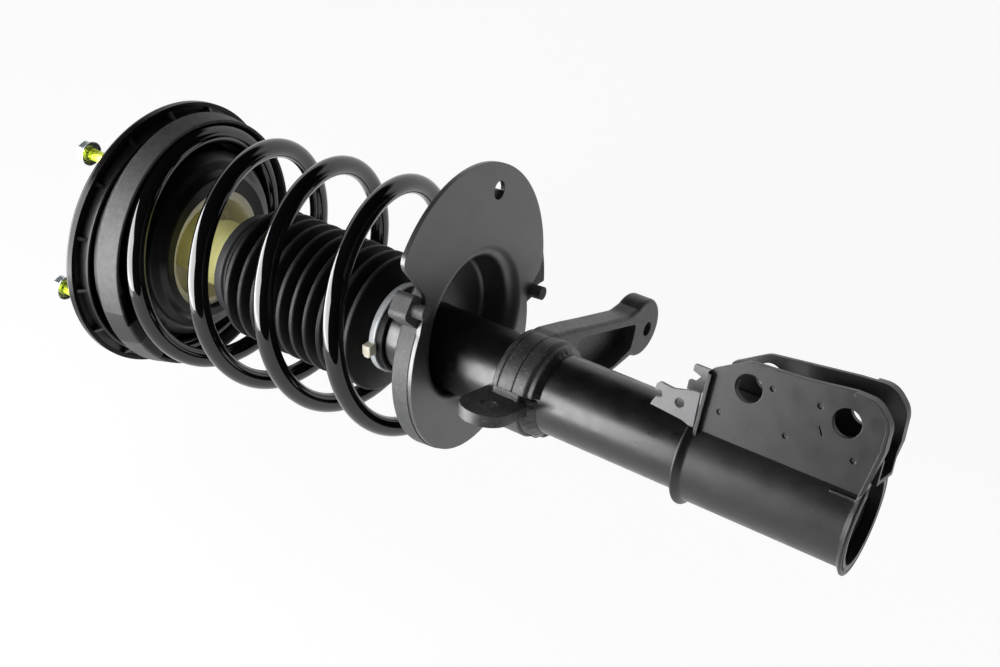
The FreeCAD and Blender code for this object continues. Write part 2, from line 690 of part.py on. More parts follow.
def cable_tie():
    inner = BOOT_NECK_RADIUS + SEAT_GAP
    outer = inner + TIE_THICKNESS
    band = ring(outer, inner, -TIE_DROP + TIE_WIDTH / 2, -TIE_DROP - TIE_WIDTH / 2)
    along, wide, tall = TIE_HEAD
    head = Part.makeBox(tall, along, wide, Vector(inner, -along / 2, -TIE_DROP - wide / 2))
    tail = Part.makeBox(TIE_THICKNESS, TIE_TAIL, TIE_WIDTH - 1,
                        Vector(outer + 1.2, -TIE_TAIL - along / 2 + 0.5, -TIE_DROP - TIE_WIDTH / 2 + 0.5))
    body = fused(band, head, tail)
    body.rotate(ORIGIN, UP, TIE_HEAD_AZIMUTH)
    save("cable_tie", body)


def piston_rod():
    foot = PISTON_DROP + SHIM_STACK + PISTON_HEIGHT + SHIM_STACK + PISTON_NUT_HEIGHT + 3
    upper = cylinder(ROD_END_RADIUS, ROD_TOP, -ROD_SHOULDER_DROP)
    middle = cylinder(ROD_RADIUS, -ROD_SHOULDER_DROP, -PISTON_DROP)
    lower = cylinder(PISTON_STUD_RADIUS, -PISTON_DROP, -foot)
    save("piston_rod", fused(upper, middle, lower))


def rebound_stop():
    top = -REBOUND_STOP_DROP
    save("rebound_stop", ring(REBOUND_STOP_RADIUS, ROD_RADIUS + LINER_GAP, top, top - REBOUND_STOP_HEIGHT))


def valve_shims():
    bore = PISTON_STUD_RADIUS + LINER_GAP
    upper = ring(CYLINDER_RADIUS - 3, bore, -PISTON_DROP, -PISTON_DROP - SHIM_STACK)
    top = -PISTON_DROP - SHIM_STACK - PISTON_HEIGHT
    lower = ring(CYLINDER_RADIUS - 3, bore, top, top - SHIM_STACK)
    save("valve_shims", upper, lower)


def piston():
    top = -PISTON_DROP - SHIM_STACK
    body = ring(CYLINDER_RADIUS - 2 * SEAT_GAP, PISTON_STUD_RADIUS + LINER_GAP, top, top - PISTON_HEIGHT)
    groove = ring(CYLINDER_RADIUS, CYLINDER_RADIUS - 2, top - 4, top - PISTON_HEIGHT + 4)
    ports = []
    for k in range(6):
        p = on_circle((PISTON_STUD_RADIUS + CYLINDER_RADIUS) / 2, 60 * k)
        ports.append(cylinder(1.5, top + 1, top - PISTON_HEIGHT - 1, p.x, p.y))
    save("piston", body.cut([groove] + ports))


def piston_band():
    top = -PISTON_DROP - SHIM_STACK - 4
    bottom = -PISTON_DROP - SHIM_STACK - PISTON_HEIGHT + 4
    inner = CYLINDER_RADIUS - 2 + LINER_GAP
    save("piston_band", ring(CYLINDER_RADIUS - RUNNING_FIT, inner, top - LINER_GAP, bottom + LINER_GAP))


def piston_nut():
    top = -PISTON_DROP - 2 * SHIM_STACK - PISTON_HEIGHT
    body = hexagon(PISTON_NUT_FLATS, top, top - PISTON_NUT_HEIGHT)
    hole = cylinder(PISTON_STUD_RADIUS + LINER_GAP, top + 1, top - PISTON_NUT_HEIGHT - 1)
    save("piston_nut", body.cut(hole))


def strut_tube():
    save("strut_tube", ring(TUBE_RADIUS, TUBE_BORE, -TUBE_TOP_DROP, -TUBE_BOTTOM_DROP))


def end_cap():
    top = -TUBE_BOTTOM_DROP + END_CAP_WALL
    save("end_cap", turned([
        (0, top), (TUBE_BORE - LINER_GAP, top), (TUBE_BORE - LINER_GAP, -TUBE_BOTTOM_DROP, 1.5),
        (0, -TUBE_BOTTOM_DROP),
    ]))


def pressure_tube():
    outer = CYLINDER_RADIUS + CYLINDER_WALL
    save("pressure_tube", ring(outer, CYLINDER_RADIUS, -GUIDE_FOOT_DROP, -VALVE_TOP_DROP))


def base_valve():
    top = -VALVE_TOP_DROP
    body = ring(TUBE_BORE - LINER_GAP, 4, top, top - FOOT_VALVE_HEIGHT)
    ports = []
    for k in range(4):
        p = on_circle(TUBE_BORE - 3, 90 * k)
        ports.append(cylinder(2, top + 1, top - FOOT_VALVE_HEIGHT - 1, p.x, p.y))
    save("base_valve", body.cut(ports))


def rod_guide():
    bore = ROD_RADIUS + RUNNING_FIT
    outer = TUBE_BORE - LINER_GAP
    save("rod_guide", turned([
        (bore, -GUIDE_DROP), (outer, -GUIDE_DROP), (outer, -GUIDE_DROP - 10),
        (CYLINDER_RADIUS + CYLINDER_WALL, -GUIDE_DROP - 14), (CYLINDER_RADIUS + CYLINDER_WALL, -GUIDE_FOOT_DROP),
        (bore, -GUIDE_FOOT_DROP),
    ]))


def rod_seal():
    top = -GUIDE_DROP + SEAL_HEIGHT
    save("rod_seal", turned([
        (ROD_RADIUS + RUNNING_FIT, -GUIDE_DROP), (ROD_RADIUS + RUNNING_FIT, top),
        (ROD_RADIUS + 3, top - 1.5), (TUBE_BORE - 3, top - 1.5), (TUBE_BORE - LINER_GAP, top),
        (TUBE_BORE - LINER_GAP, -GUIDE_DROP),
    ]))


def striker_cap():
    inner = TUBE_RADIUS + LINER_GAP
    top = -CAP_TOP_DROP
    save("striker_cap", turned([
        (ROD_RADIUS + 3, top), (inner + CAP_WALL, top, 1.5), (inner + CAP_WALL, top - CAP_SKIRT),
        (inner, top - CAP_SKIRT), (inner, -TUBE_TOP_DROP), (ROD_RADIUS + 3, -TUBE_TOP_DROP),
    ]))


def spring_offset():
    """Where the spring's axis crosses the lower seat, from the strut's axis."""
    reach = (PLATE_DROP - PIVOT_DROP) * math.sin(math.radians(LEAN))
    return on_circle(reach, LEAN_AZIMUTH)


def tube_room(gap):
    return cylinder(TUBE_RADIUS + gap, 0, -2 * PLATE_DROP)


def lower_spring_seat():
    lobe = cylinder(LOBE_RADIUS, PLATE, 0, *LOBE_CENTRE)
    keep = slab([(0, -30)] + list(SHOULDERS) + [
        (SHOULDERS[-1][0] + 60, SHOULDERS[-1][1] - 60), (LOBE_CENTRE[0] + LOBE_RADIUS + 40, 0),
        (FAR_SHOULDERS[0][0] + 50, FAR_SHOULDERS[0][1] + 60),
    ] + list(FAR_SHOULDERS) + [(0, 40)], PLATE, 0)
    plate = fused(cylinder(ROUND_RADIUS, PLATE, 0, *ROUND_CENTRE), lobe.common(keep))
    corners = (SHOULDERS[-1], SHOULDERS[1], FAR_SHOULDERS[0])
    rounded = [e for e in plate.Edges if is_corner(e, corners)]
    plate = plate.makeFillet(SHOULDER_ROUNDING, rounded)
    centre = spring_offset()
    hole = on_circle(SEAT_HOLE_DISTANCE, SEAT_HOLE_AZIMUTH)
    mouth = CUP_MOUTH_RADIUS
    plate = plate.cut([
        cylinder(mouth + 9, PLATE + 1, -1, centre.x, centre.y),
        cylinder(SEAT_HOLE_RADIUS, PLATE + 1, -1, hole.x, hole.y),
    ])
    cup = turned([
        (mouth + 10, 0), (mouth + 10, PLATE), (mouth + PLATE + 0.5, PLATE, MOUTH_ROUNDING / 2),
        (DRAWN_CUP_RADIUS, DRAWN_CUP_HEIGHT, 6), (0, DRAWN_CUP_HEIGHT),
        (0, DRAWN_CUP_HEIGHT - PLATE), (DRAWN_CUP_RADIUS - PLATE, DRAWN_CUP_HEIGHT - PLATE, 4),
        (mouth, 0, MOUTH_ROUNDING),
    ])
    cup.translate(centre)
    body = on_plate(fused(plate, cup))
    save("lower_spring_seat", body.cut(tube_room(LINER_GAP)))


def is_corner(edge, places):
    """Is this an upright edge of the plate near one of these places in plan?"""
    if len(edge.Vertexes) != 2 or abs(edge.Length - PLATE) > 1e-3:
        return False
    middle = edge.CenterOfMass
    return any(math.hypot(middle.x - x, middle.y - y) < 6 for x, y in places)


def lug_bar(place, width, top, bottom, inner):
    """Block of rubber that reaches out to a peg, with a rounded end."""
    offset = Vector(place[0] - ROUND_CENTRE[0], place[1] - ROUND_CENTRE[1], 0)
    reach = offset.Length
    block = slab([
        (inner, -width / 2), (reach + width / 2 - 2, -width / 2, LUG_ROUNDING),
        (reach + width / 2 - 2, width / 2, LUG_ROUNDING), (inner, width / 2),
    ], top, bottom)
    block.rotate(ORIGIN, UP, math.degrees(math.atan2(offset.y, offset.x)))
    block.translate(Vector(ROUND_CENTRE[0], ROUND_CENTRE[1], 0))
    return block


def lower_isolator():
    foot = PLATE
    rim = PILOT_RING_HEIGHT + foot
    start, end = PILOT_RING_ARC
    inner = ROUND_RADIUS - PILOT_RING_WIDTH
    band = turned([
        (inner, foot), (ROUND_RADIUS + 0.5, foot), (ROUND_RADIUS + 0.5, rim, 2), (inner, rim, 2),
    ], end - start, start)
    band.translate(Vector(ROUND_CENTRE[0], ROUND_CENTRE[1], 0))
    start, end = LOWER_PAD_ARC
    pad = turned([
        (COIL_RADIUS - WIRE_RADIUS - 2, foot), (COIL_RADIUS + WIRE_RADIUS + 4, foot),
        (COIL_RADIUS + WIRE_RADIUS + 4, foot + LOWER_PAD_HEIGHT, 2),
        (COIL_RADIUS - WIRE_RADIUS - 2, foot + LOWER_PAD_HEIGHT, 2),
    ], end - start, start)
    pad.translate(spring_offset())
    lugs = [
        lug_bar(NEAR_PEG, LUG_WIDTH, foot + LUG_HEIGHT, foot, inner + 3),
        lug_bar(FAR_PEG, LUG_WIDTH - 6, rim - 3, foot, inner + 3),
    ]
    pegs = [cylinder(PEG_RADIUS, foot + 1, -PEG_REACH, *place) for place in (NEAR_PEG, FAR_PEG)]
    bridge = slab([(9, 65), (FAR_PEG[0] + 4, FAR_PEG[1] - 4), (48, 78), (46, 63)], rim - 5, foot)
    body = on_plate(fused(band, pad, bridge, *lugs, *pegs))
    save("lower_isolator", body.cut(wire_groove(False)))


def arm_outline():
    return [
        (-30.5, -4), (30.5, -4), (32, 10, 20), (30, 34, 60), (27.5, 56, 60), (23.2, 100, 20),
        (ARM_BOSS[0] + 17, ARM_BOSS[1] - 8), (ARM_BOSS[0], ARM_BOSS[1] + 5),
        (ARM_BOSS[0] - 17, ARM_BOSS[1] - 8), (-12, 98, 20), (-20, 62, 80), (-29, 22, 30),
    ]


def pocket_outline():
    return [
        (-14, 40, 5), (15, 33, 8), (23, 40, 6), (19.5, 74, 40), (15.5, 112, 4), (-2, 110.5, 4),
        (-9, 92, 8), (-14, 66, 30),
    ]


def arm_collar():
    """The forging's collar, with two grooves round it and a narrower foot that is welded to the tube."""
    top = -ARM_DROP
    foot = top - COLLAR_HEIGHT
    profile = [(TUBE_RADIUS, top), (COLLAR_RADIUS, top, 1.2)]
    for depth in COLLAR_GROOVES:
        profile += [(COLLAR_RADIUS, top - depth + 0.5), (COLLAR_RADIUS - COLLAR_GROOVE_DEPTH, top - depth),
                    (COLLAR_RADIUS, top - depth - 0.5)]
    profile += [(COLLAR_RADIUS, foot + COLLAR_FOOT_HEIGHT, 2), (COLLAR_FOOT_RADIUS, foot + COLLAR_FOOT_HEIGHT - 1.5),
                (COLLAR_FOOT_RADIUS, foot, 1), (TUBE_RADIUS, foot)]
    return turned(profile, COLLAR_ARC, COLLAR_AZIMUTH)


def steering_arm():
    top = -ARM_DROP
    bottom = top - ARM_HEIGHT
    bar = slab(arm_outline(), top, bottom)
    boss = cylinder(ARM_BOSS_RADIUS, top, bottom, *ARM_BOSS)
    forging = fused(bar, boss)
    rims = [e for e in forging.Edges if e.CenterOfMass.y > 0 and (runs_level(e, top) or runs_level(e, bottom))]
    forging = forging.makeFillet(ARM_ROUNDING, rims)
    body = fused(forging, arm_collar())
    pocket = slab(pocket_outline(), bottom + POCKET_DEPTH, bottom - 1)
    x, y = TAPER_CENTRE
    taper = Part.makeCone(TAPER_SMALL_RADIUS, TAPER_LARGE_RADIUS, ARM_HEIGHT, Vector(x, y, bottom), UP)
    save("steering_arm", body.cut([pocket, taper, tube_room(LINER_GAP)]))


def runs_level(edge, height):
    box = edge.BoundBox
    return abs(box.ZMin - height) < 1e-4 and abs(box.ZMax - height) < 1e-4


def collar_room():
    """What the arm's collar and its arm take up beside the link's ear."""
    profile = [
        (TUBE_RADIUS, -ARM_DROP + LINER_GAP), (COLLAR_RADIUS + LINER_GAP, -ARM_DROP + LINER_GAP),
        (COLLAR_RADIUS + LINER_GAP, -COLLAR_FOOT_DROP - LINER_GAP), (TUBE_RADIUS, -COLLAR_FOOT_DROP - LINER_GAP),
    ]
    return turned(profile, COLLAR_ARC + 1, COLLAR_AZIMUTH - 0.5)


def link_ear(gap):
    """The ear's plate, or with a gap the room that it takes up."""
    half = LINK_HEIGHT / 2
    rounding = half - 0.1
    face = [(-8, LINK_DROP - gap), (LINK_REACH, LINK_DROP - gap, rounding),
            (LINK_REACH, LINK_DROP + LINK_HEIGHT + gap, rounding), (-8, LINK_DROP + LINK_HEIGHT + gap)]
    ear = upright(face, -LINK_THICKNESS / 2 - gap, LINK_THICKNESS + 2 * gap)
    if not gap:
        ear = ear.cut(Part.makeCylinder(LINK_HOLE_RADIUS, 2 * LINK_THICKNESS,
                                        Vector(LINK_HOLE_OUT, -LINK_THICKNESS, -LINK_DROP - half), Vector(0, 1, 0)))
    ear.rotate(ORIGIN, UP, LINK_AZIMUTH)
    ear.translate(on_circle(COLLAR_RADIUS - 1, LINK_ROOT_AZIMUTH))
    return ear


def beside_collar(profile):
    """Profile turned over the azimuths that the arm's collar leaves free."""
    start = COLLAR_AZIMUTH + COLLAR_ARC + SADDLE_GAP
    return turned(profile, 360 - COLLAR_ARC - 2 * SADDLE_GAP, start)


def link_bracket():
    top = -ARM_DROP
    foot = top - SADDLE_HEIGHT
    disc = turned([(0, top), (SADDLE_RADIUS, top, 1.5), (SADDLE_RADIUS, foot, 1.5), (0, foot)])
    disc.translate(on_circle(SADDLE_OFFSET, SADDLE_AZIMUTH))
    sector = beside_collar([(1, top + 1), (2 * COLLAR_RADIUS, top + 1), (2 * COLLAR_RADIUS, foot - 1), (1, foot - 1)])
    body = fused(link_ear(0), disc.common(sector))
    save("link_bracket", body.cut([tube_room(LINER_GAP), collar_room()]))


def weld_beads():
    collar_foot = -COLLAR_FOOT_DROP - LINER_GAP
    saddle_foot = -ARM_DROP - SADDLE_HEIGHT - LINER_GAP
    tube = TUBE_RADIUS + LINER_GAP
    under_collar = turned([(tube, collar_foot), (tube + BEAD, collar_foot, 1), (tube + 1, collar_foot - BEAD),
                           (tube, collar_foot - BEAD)], COLLAR_ARC, COLLAR_AZIMUTH)
    under_saddle = beside_collar([
        (tube, saddle_foot), (tube + BEAD, saddle_foot, 1), (tube + BEAD + 2.2, saddle_foot - 4, 3),
        (tube + BEAD, collar_foot - 1, 3), (tube + 1, collar_foot - BEAD), (tube, collar_foot - BEAD),
    ]).cut(link_ear(LINER_GAP))
    strap_top = -STRAP_TOP_DROP - FLARE_DEPTH / 2
    over_strap = turned([(tube, strap_top), (tube, strap_top + BEAD), (tube + 1, strap_top + BEAD),
                         (tube + 2.2, strap_top)], 150, 110)
    floor_drop = PLATE_DROP - DRAWN_CUP_HEIGHT
    on_floor = turned([(tube, -floor_drop + 3), (tube, -floor_drop + 6), (tube + 4, -floor_drop + 3)])
    save("weld_beads", under_collar, under_saddle, over_strap, on_floor)


def ear_outline(corners):
    height = EAR_BOTTOM_DROP - EAR_TOP_DROP
    return [(x * EAR_REACH, EAR_TOP_DROP + drop * height, *rest) for x, drop, *rest in corners]


def ear_lip(corners, face, rise):
    """The edge of an ear that is turned outwards, along all of its outline but the end."""
    blank = Part.Face(outline(ear_outline(corners), lambda x, drop: Vector(x, face, -drop)))
    inside = blank.makeOffset2D(-EAR_LIP_BEND)
    lip = blank.extrude(Vector(0, rise, 0)).cut(inside.extrude(Vector(0, rise, 0)))
    end_top = EAR_TOP_DROP + 2 * EAR_LIP_BEND
    end_foot = EAR_BOTTOM_DROP - 0.22 * (EAR_BOTTOM_DROP - EAR_TOP_DROP)
    low = min(0, rise) - 1
    end = Part.makeBox(EAR_REACH, abs(rise) + 2, end_foot - end_top,
                       Vector(0.5 * EAR_REACH, face + low, -end_foot))
    corner = Part.makeBox(EAR_REACH, abs(rise) + 2, 2 * EAR_LIP_BEND,
                          Vector(0.74 * EAR_REACH, face + low, -end_top))
    root = Part.makeBox(0.27 * EAR_REACH, abs(rise) + 2, end_foot - end_top,
                        Vector(0, face + low, -end_foot))
    return lip.cut([end, corner, root])


def strap_edge(shape):
    """What is drawn at z = 0, moved to the strap's leaning lower edge."""
    tilt = Rotation(on_circle(1, STRAP_TILT_AZIMUTH + 90), STRAP_TILT)
    moved = shape.copy()
    moved.Placement = Placement(Vector(0, 0, -STRAP_BOTTOM_DROP), tilt)
    return moved


def knuckle_bracket():
    outer = TUBE_RADIUS + STRAP
    inner = TUBE_RADIUS + LINER_GAP
    top = -STRAP_TOP_DROP
    mouth_radius = FLARE_RADIUS - 1.6
    strap = turned([
        (mouth_radius, top), (FLARE_RADIUS, top, 0.7), (FLARE_RADIUS, top - 1.4), (outer, top - FLARE_DEPTH, 2.5),
        (outer, -STRAP_BOTTOM_DROP - 6), (inner, -STRAP_BOTTOM_DROP - 6), (inner, top - FLARE_DEPTH, 3),
    ])
    strap = strap.cut(strap_edge(cylinder(2 * FLARE_RADIUS, 0, -20)))
    foot = strap_edge(turned([
        (outer - STRAP, FLARE_DEPTH), (outer, FLARE_DEPTH, 2.5), (FLARE_RADIUS, 1.6), (FLARE_RADIUS, 0, 0.7),
        (mouth_radius, 0), (outer - STRAP, FLARE_DEPTH - 1),
    ]))
    mouth_near = NEAR_EAR_FACE + EAR
    mouth_far = mouth_near + EAR_GAP
    mouth = Part.makeBox(2 * FLARE_RADIUS, EAR_GAP, STRAP_BOTTOM_DROP - STRAP_TOP_DROP + 16,
                         Vector(6, mouth_near, -STRAP_BOTTOM_DROP - 8))
    room = cylinder(inner, 0, -2 * STRAP_BOTTOM_DROP)
    ears = [
        upright(ear_outline(NEAR_EAR), NEAR_EAR_FACE, EAR), ear_lip(NEAR_EAR, NEAR_EAR_FACE, -EAR_LIP),
        upright(ear_outline(FAR_EAR), mouth_far, EAR), ear_lip(FAR_EAR, FAR_EAR_FACE, EAR_LIP),
    ]
    body = fused(fused(strap, foot).cut([mouth, room]), *[ear.cut(room) for ear in ears])
    cuts = []
    for x, drop in BOLT_HOLES:
        cuts.append(Part.makeCylinder(BOLT_HOLE_RADIUS, 60, Vector(x, -30, -drop), Vector(0, 1, 0)))
    for x, drop in DIMPLES:
        start = Vector(x, NEAR_EAR_FACE - 1, -drop)
        cuts.append(Part.makeCylinder(DIMPLE_RADIUS, 1 + DIMPLE_DEPTH, start, Vector(0, 1, 0)))
    x, drop, long, wide = SLIT
    slit = Part.makeBox(long, 1 + DIMPLE_DEPTH, wide, Vector(-long / 2, NEAR_EAR_FACE - 1, -wide / 2))
    slit.rotate(ORIGIN, Vector(0, 1, 0), -SLIT_TURN)
    slit.translate(Vector(x, 0, -drop))
    save("knuckle_bracket", body.cut(cuts + [slit]))


def bracket_reinforcement():
    near = NEAR_EAR_FACE + EAR + LINER_GAP
    far = FAR_EAR_FACE - EAR - LINER_GAP
    front = TUBE_RADIUS + WEB_GAP
    channel = slab([
        (front, near), (front + WEB_LEG, near), (front + WEB_LEG, near + WEB_SHEET),
        (front + WEB_SHEET, near + WEB_SHEET, 2), (front + WEB_SHEET, far - WEB_SHEET, 2),
        (front + WEB_LEG, far - WEB_SHEET), (front + WEB_LEG, far), (front, far),
    ], -EAR_TOP_DROP - WEB_TOP_INSET, -EAR_BOTTOM_DROP + WEB_FOOT_INSET)
    save("bracket_reinforcement", channel)


def hose_bracket():
    outside = NEAR_EAR_FACE - 1.6
    x, drop = HOSE_HOLE
    corners = [(x + a, drop + b, *rest) for a, b, *rest in HOSE_PLATE]
    plate = upright(corners, outside - HOSE_SHEET, HOSE_SHEET)
    hole = Part.makeCylinder(HOSE_HOLE_RADIUS, 3 * HOSE_SHEET,
                             Vector(x, outside - 2 * HOSE_SHEET, -drop), Vector(0, 1, 0))
    strap = cylinder(FLARE_RADIUS + LINER_GAP, -STRAP_TOP_DROP + 1, -STRAP_TOP_DROP - 9)
    ear = upright(ear_outline(NEAR_EAR), NEAR_EAR_FACE - EAR_LIP - LINER_GAP, 2 * EAR_LIP)
    ear.translate(Vector(0, 0, LINER_GAP))
    save("hose_bracket", plate.cut([hole, strap, ear]))


def sensor_clip():
    x, drop = CLIP_PLACE
    arms = upright([(x + a, drop + b, *rest) for a, b, *rest in CLIP_PLATE], CLIP_NEAR, CLIP_SHEET)
    wall = NEAR_EAR_FACE + EAR + LINER_GAP
    foot = Part.makeBox(CLIP_SHEET, CLIP_NEAR - wall + 1, CLIP_FOOT, Vector(x, wall, -drop - CLIP_FOOT - 4))
    save("sensor_clip", fused(arms, foot))


PIECES = (
    mount_plate, mount_rib_ring, tower_studs, tower_nuts, mount_bush, bush_sleeve, rod_washers,
    rod_nut, bearing_upper_race, bearing_cage, bearing_balls, bearing_lower_race, upper_spring_seat,
    upper_isolator, bumper_cup, jounce_bumper, dust_boot, cable_tie, coil_spring, piston_rod,
    rebound_stop, valve_shims, piston, piston_band, piston_nut, strut_tube, end_cap, pressure_tube,
    base_valve, rod_guide, rod_seal, striker_cap, lower_spring_seat, lower_isolator, steering_arm,
    link_bracket, weld_beads, knuckle_bracket, bracket_reinforcement, hose_bracket, sensor_clip,
)
for piece in PIECES:
    piece()
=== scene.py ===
# Looks of the strut assembly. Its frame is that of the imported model: Z is the strut's axis,
# up through the top mount, and z = 0 is the face of the mount that bears on the car.
# Sizes of the pieces are in millimetres, angles in degrees, and a drop is a depth below z = 0.
# The camera, the stage and the lamps are in metres.
import math

import bmesh
import bpy
from mathutils import Matrix, Quaternion, Vector

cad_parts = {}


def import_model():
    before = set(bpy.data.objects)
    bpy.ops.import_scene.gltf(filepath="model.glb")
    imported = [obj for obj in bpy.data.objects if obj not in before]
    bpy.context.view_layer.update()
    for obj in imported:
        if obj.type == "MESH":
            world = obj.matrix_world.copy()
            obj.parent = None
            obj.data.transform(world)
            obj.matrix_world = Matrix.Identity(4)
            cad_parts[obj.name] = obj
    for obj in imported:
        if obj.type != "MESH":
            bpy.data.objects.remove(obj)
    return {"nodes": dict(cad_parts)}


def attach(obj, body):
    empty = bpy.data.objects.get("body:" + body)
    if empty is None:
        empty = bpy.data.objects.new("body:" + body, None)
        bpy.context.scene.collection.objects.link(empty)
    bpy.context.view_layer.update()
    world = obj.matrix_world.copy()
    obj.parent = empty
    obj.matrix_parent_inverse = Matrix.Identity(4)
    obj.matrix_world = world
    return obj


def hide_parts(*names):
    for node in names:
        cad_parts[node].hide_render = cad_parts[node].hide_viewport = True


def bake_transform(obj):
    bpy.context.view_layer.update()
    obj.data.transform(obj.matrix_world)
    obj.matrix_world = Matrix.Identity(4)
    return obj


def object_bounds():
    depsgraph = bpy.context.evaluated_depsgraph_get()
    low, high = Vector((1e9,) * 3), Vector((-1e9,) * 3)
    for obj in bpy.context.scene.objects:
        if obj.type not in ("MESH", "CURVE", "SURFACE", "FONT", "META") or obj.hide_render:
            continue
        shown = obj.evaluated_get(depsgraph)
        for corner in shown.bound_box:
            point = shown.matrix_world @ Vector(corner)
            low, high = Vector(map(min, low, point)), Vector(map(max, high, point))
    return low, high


MM = 0.001

# Camera, fitted to the photograph
IMAGE_WIDTH = 1000           # pixels
FOCAL_LENGTH = 1586.0        # pixels
SENSOR_WIDTH = 36.0          # millimetres
CAMERA_PLACE = Vector((0.3732, -0.7789, -0.7539))
CAMERA_AIM = Vector((0.01853, 0.00835, -0.27899))
CAMERA_ROLL = -67.894
CAMERA_PITCH = 34.379        # of the view below the floor's horizon
NEAREST, FARTHEST = 0.01, 50

# Stage
FLOOR_GAP = 0.012            # below the widest swing of the arm
FLOOR_LEFT, FLOOR_RIGHT = 3.6, 1.6
FLOOR_FRONT, FLOOR_DEEP = 0.55, 3.6
FLOOR_COLOUR = 0.82
FLOOR_SHOWN = 0.22           # its colour to the camera, so that shadows on it stay faint
FLOOR_LIFT = 0.87            # white added for the camera
FLOOR_MIRRORED = 0.72        # white added in gloss
BACKDROP = 1.05              # brightness of the white wall behind, in gloss
BACKDROP_NEAR = (-0.46, -0.34)   # where it fades: share of a direction that points to the viewer
BACKDROP_TOP = (0.45, 0.62)      # and share that points up from the floor
ROOM = 0.013                 # brightness of the rest of the room, in gloss
AMBIENT = 0.32               # plain light on matt surfaces

# Lamps: how far each is turned to the left of the view and raised from the floor, its distance from
# the aim, its size, its radiance, and whether it shows in gloss alone or lights matt surfaces alone
LAMP_AIM = Vector((0, 0, -0.12))
LAMPS = {
    "softbox": dict(side=76.0, rise=7.0, distance=0.52, size=(0.84, 0.52), radiance=14.0, mirrored=True),
    "glow": dict(side=95.0, rise=-19.0, distance=0.42, size=(0.60, 0.14), radiance=3.5, mirrored=True),
    "key": dict(side=50.0, rise=10.0, distance=1.0, size=(0.8, 0.7), radiance=6.0, mirrored=False),
}

# Coil spring, as in the solid model. What is closed and what is seated is in turns.
LEAN = 4.07
LEAN_AZIMUTH = 30.4
PIVOT_DROP = 9.2
WIRE_RADIUS = 6.5
COIL_RADIUS = 77.4
PITCH = 54.35
COIL_TURNS = 4.69
FIRST_TURN_AZIMUTH = 208.7
UPPER_CLOSING = 0.92
LOWER_CLOSING = 0.6
LOWER_CLOSED = 0.47
COIL_DROP = 24.75
UPPER_SEATED = 0.55
LOWER_SEATED = 0.40
STROKE_EASE = 0.08           # share of the free turns over which the stroke starts and ends
RINGS_PER_TURN = 120
WIRE_SIDES = 40
END_CHAMFER = 0.8
SMALL_TURN = 1e-4            # gives the wire's direction

# Dust boot
BOOT_TOP_DROP = 79.2
BOOT_COLLAR_FOOT = 85.7
BOOT_COLLAR_RADIUS = 36.0
BOOT_COLLAR_BORE = 27.4
BOOT_CREST_RADIUS = 45.5
BOOT_ROOT_RADIUS = 37.5
BOOT_CREST = (1.7, 1.3)      # half of its width, and the rounding of its corners
BOOT_ROOT = (1.5, 1.1)
BOOT_INSIDE = (0.6, 0.5)
BOOT_RIBS = 10
BOOT_PITCH = 11.25
BOOT_FIRST_CREST_DROP = 99.7
BOOT_NECK_DROP = 206.4
BOOT_NECK_FOOT = 217.2
BOOT_NECK_RADIUS = 28.2
BOOT_NECK_BORE = 25.9
BOOT_WALL = 2.2
BOOT_SIDES = 144
BOOT_ARC_STEPS = 4
BOOT_FREE_TOP = BOOT_COLLAR_FOOT + 2                 # the rubber stretches from here
BOOT_HEAD = (                # radius, drop and rounding of the corners above the first rib
    (BOOT_COLLAR_BORE, BOOT_TOP_DROP, 0.6),
    (BOOT_COLLAR_RADIUS, BOOT_TOP_DROP, 1.2),
    (BOOT_COLLAR_RADIUS, BOOT_COLLAR_FOOT, 0.8),
    (BOOT_ROOT_RADIUS - 4, BOOT_COLLAR_FOOT + 1.2, 1.0),
    (BOOT_ROOT_RADIUS + 1.5, BOOT_FIRST_CREST_DROP - 5.5, 2.5),
)
BOOT_NECK = (                # of those below the last rib
    (BOOT_NECK_RADIUS + 1, BOOT_NECK_DROP + 0.5, 1.2),
    (BOOT_NECK_RADIUS, BOOT_NECK_DROP + 2, 0.6),
    (BOOT_NECK_RADIUS, BOOT_NECK_FOOT, 0.7),
    (BOOT_NECK_BORE, BOOT_NECK_FOOT, 0.5),
    (BOOT_NECK_BORE, BOOT_NECK_DROP, 1.0),
)
BOOT_THROAT = (              # and of the inside above the first rib, from below
    (BOOT_ROOT_RADIUS - BOOT_WALL, BOOT_FIRST_CREST_DROP - 5, 1.5),
    (BOOT_COLLAR_BORE, BOOT_COLLAR_FOOT, 0.6),
)

# Bumper
BUMPER_TOP_DROP = 22.3
BUMPER_FOOT_DROP = 95.2
BUMPER_BORE = 11.7
BUMPER_NECK = 20.4
BUMPER_RADIUS = 26.9
BUMPER_SIDES = 96
BUMPER_PROFILE = (           # radius, drop and rounding of each corner
    (BUMPER_BORE, BUMPER_TOP_DROP, 1.0),
    (BUMPER_NECK, BUMPER_TOP_DROP, 3.0),
    (BUMPER_NECK, 46.0, 3.0),
    (BUMPER_NECK + 2.6, 50.0, 3.0),
    (BUMPER_NECK + 2.6, 56.0, 3.0),
    (BUMPER_NECK - 0.8, 59.5, 2.2),
    (BUMPER_NECK + 0.6, 64.0, 6.0),
    (BUMPER_RADIUS, 72.5, 5.0),
    (BUMPER_RADIUS, 88.5, 2.2),
    (BUMPER_RADIUS - 3.6, 91.0, 1.5),
    (BUMPER_RADIUS - 6.4, BUMPER_FOOT_DROP, 2.0),
    (BUMPER_BORE + 1.2, BUMPER_FOOT_DROP, 1.0),
    (BUMPER_BORE, BUMPER_FOOT_DROP - 5, 2.0),
)

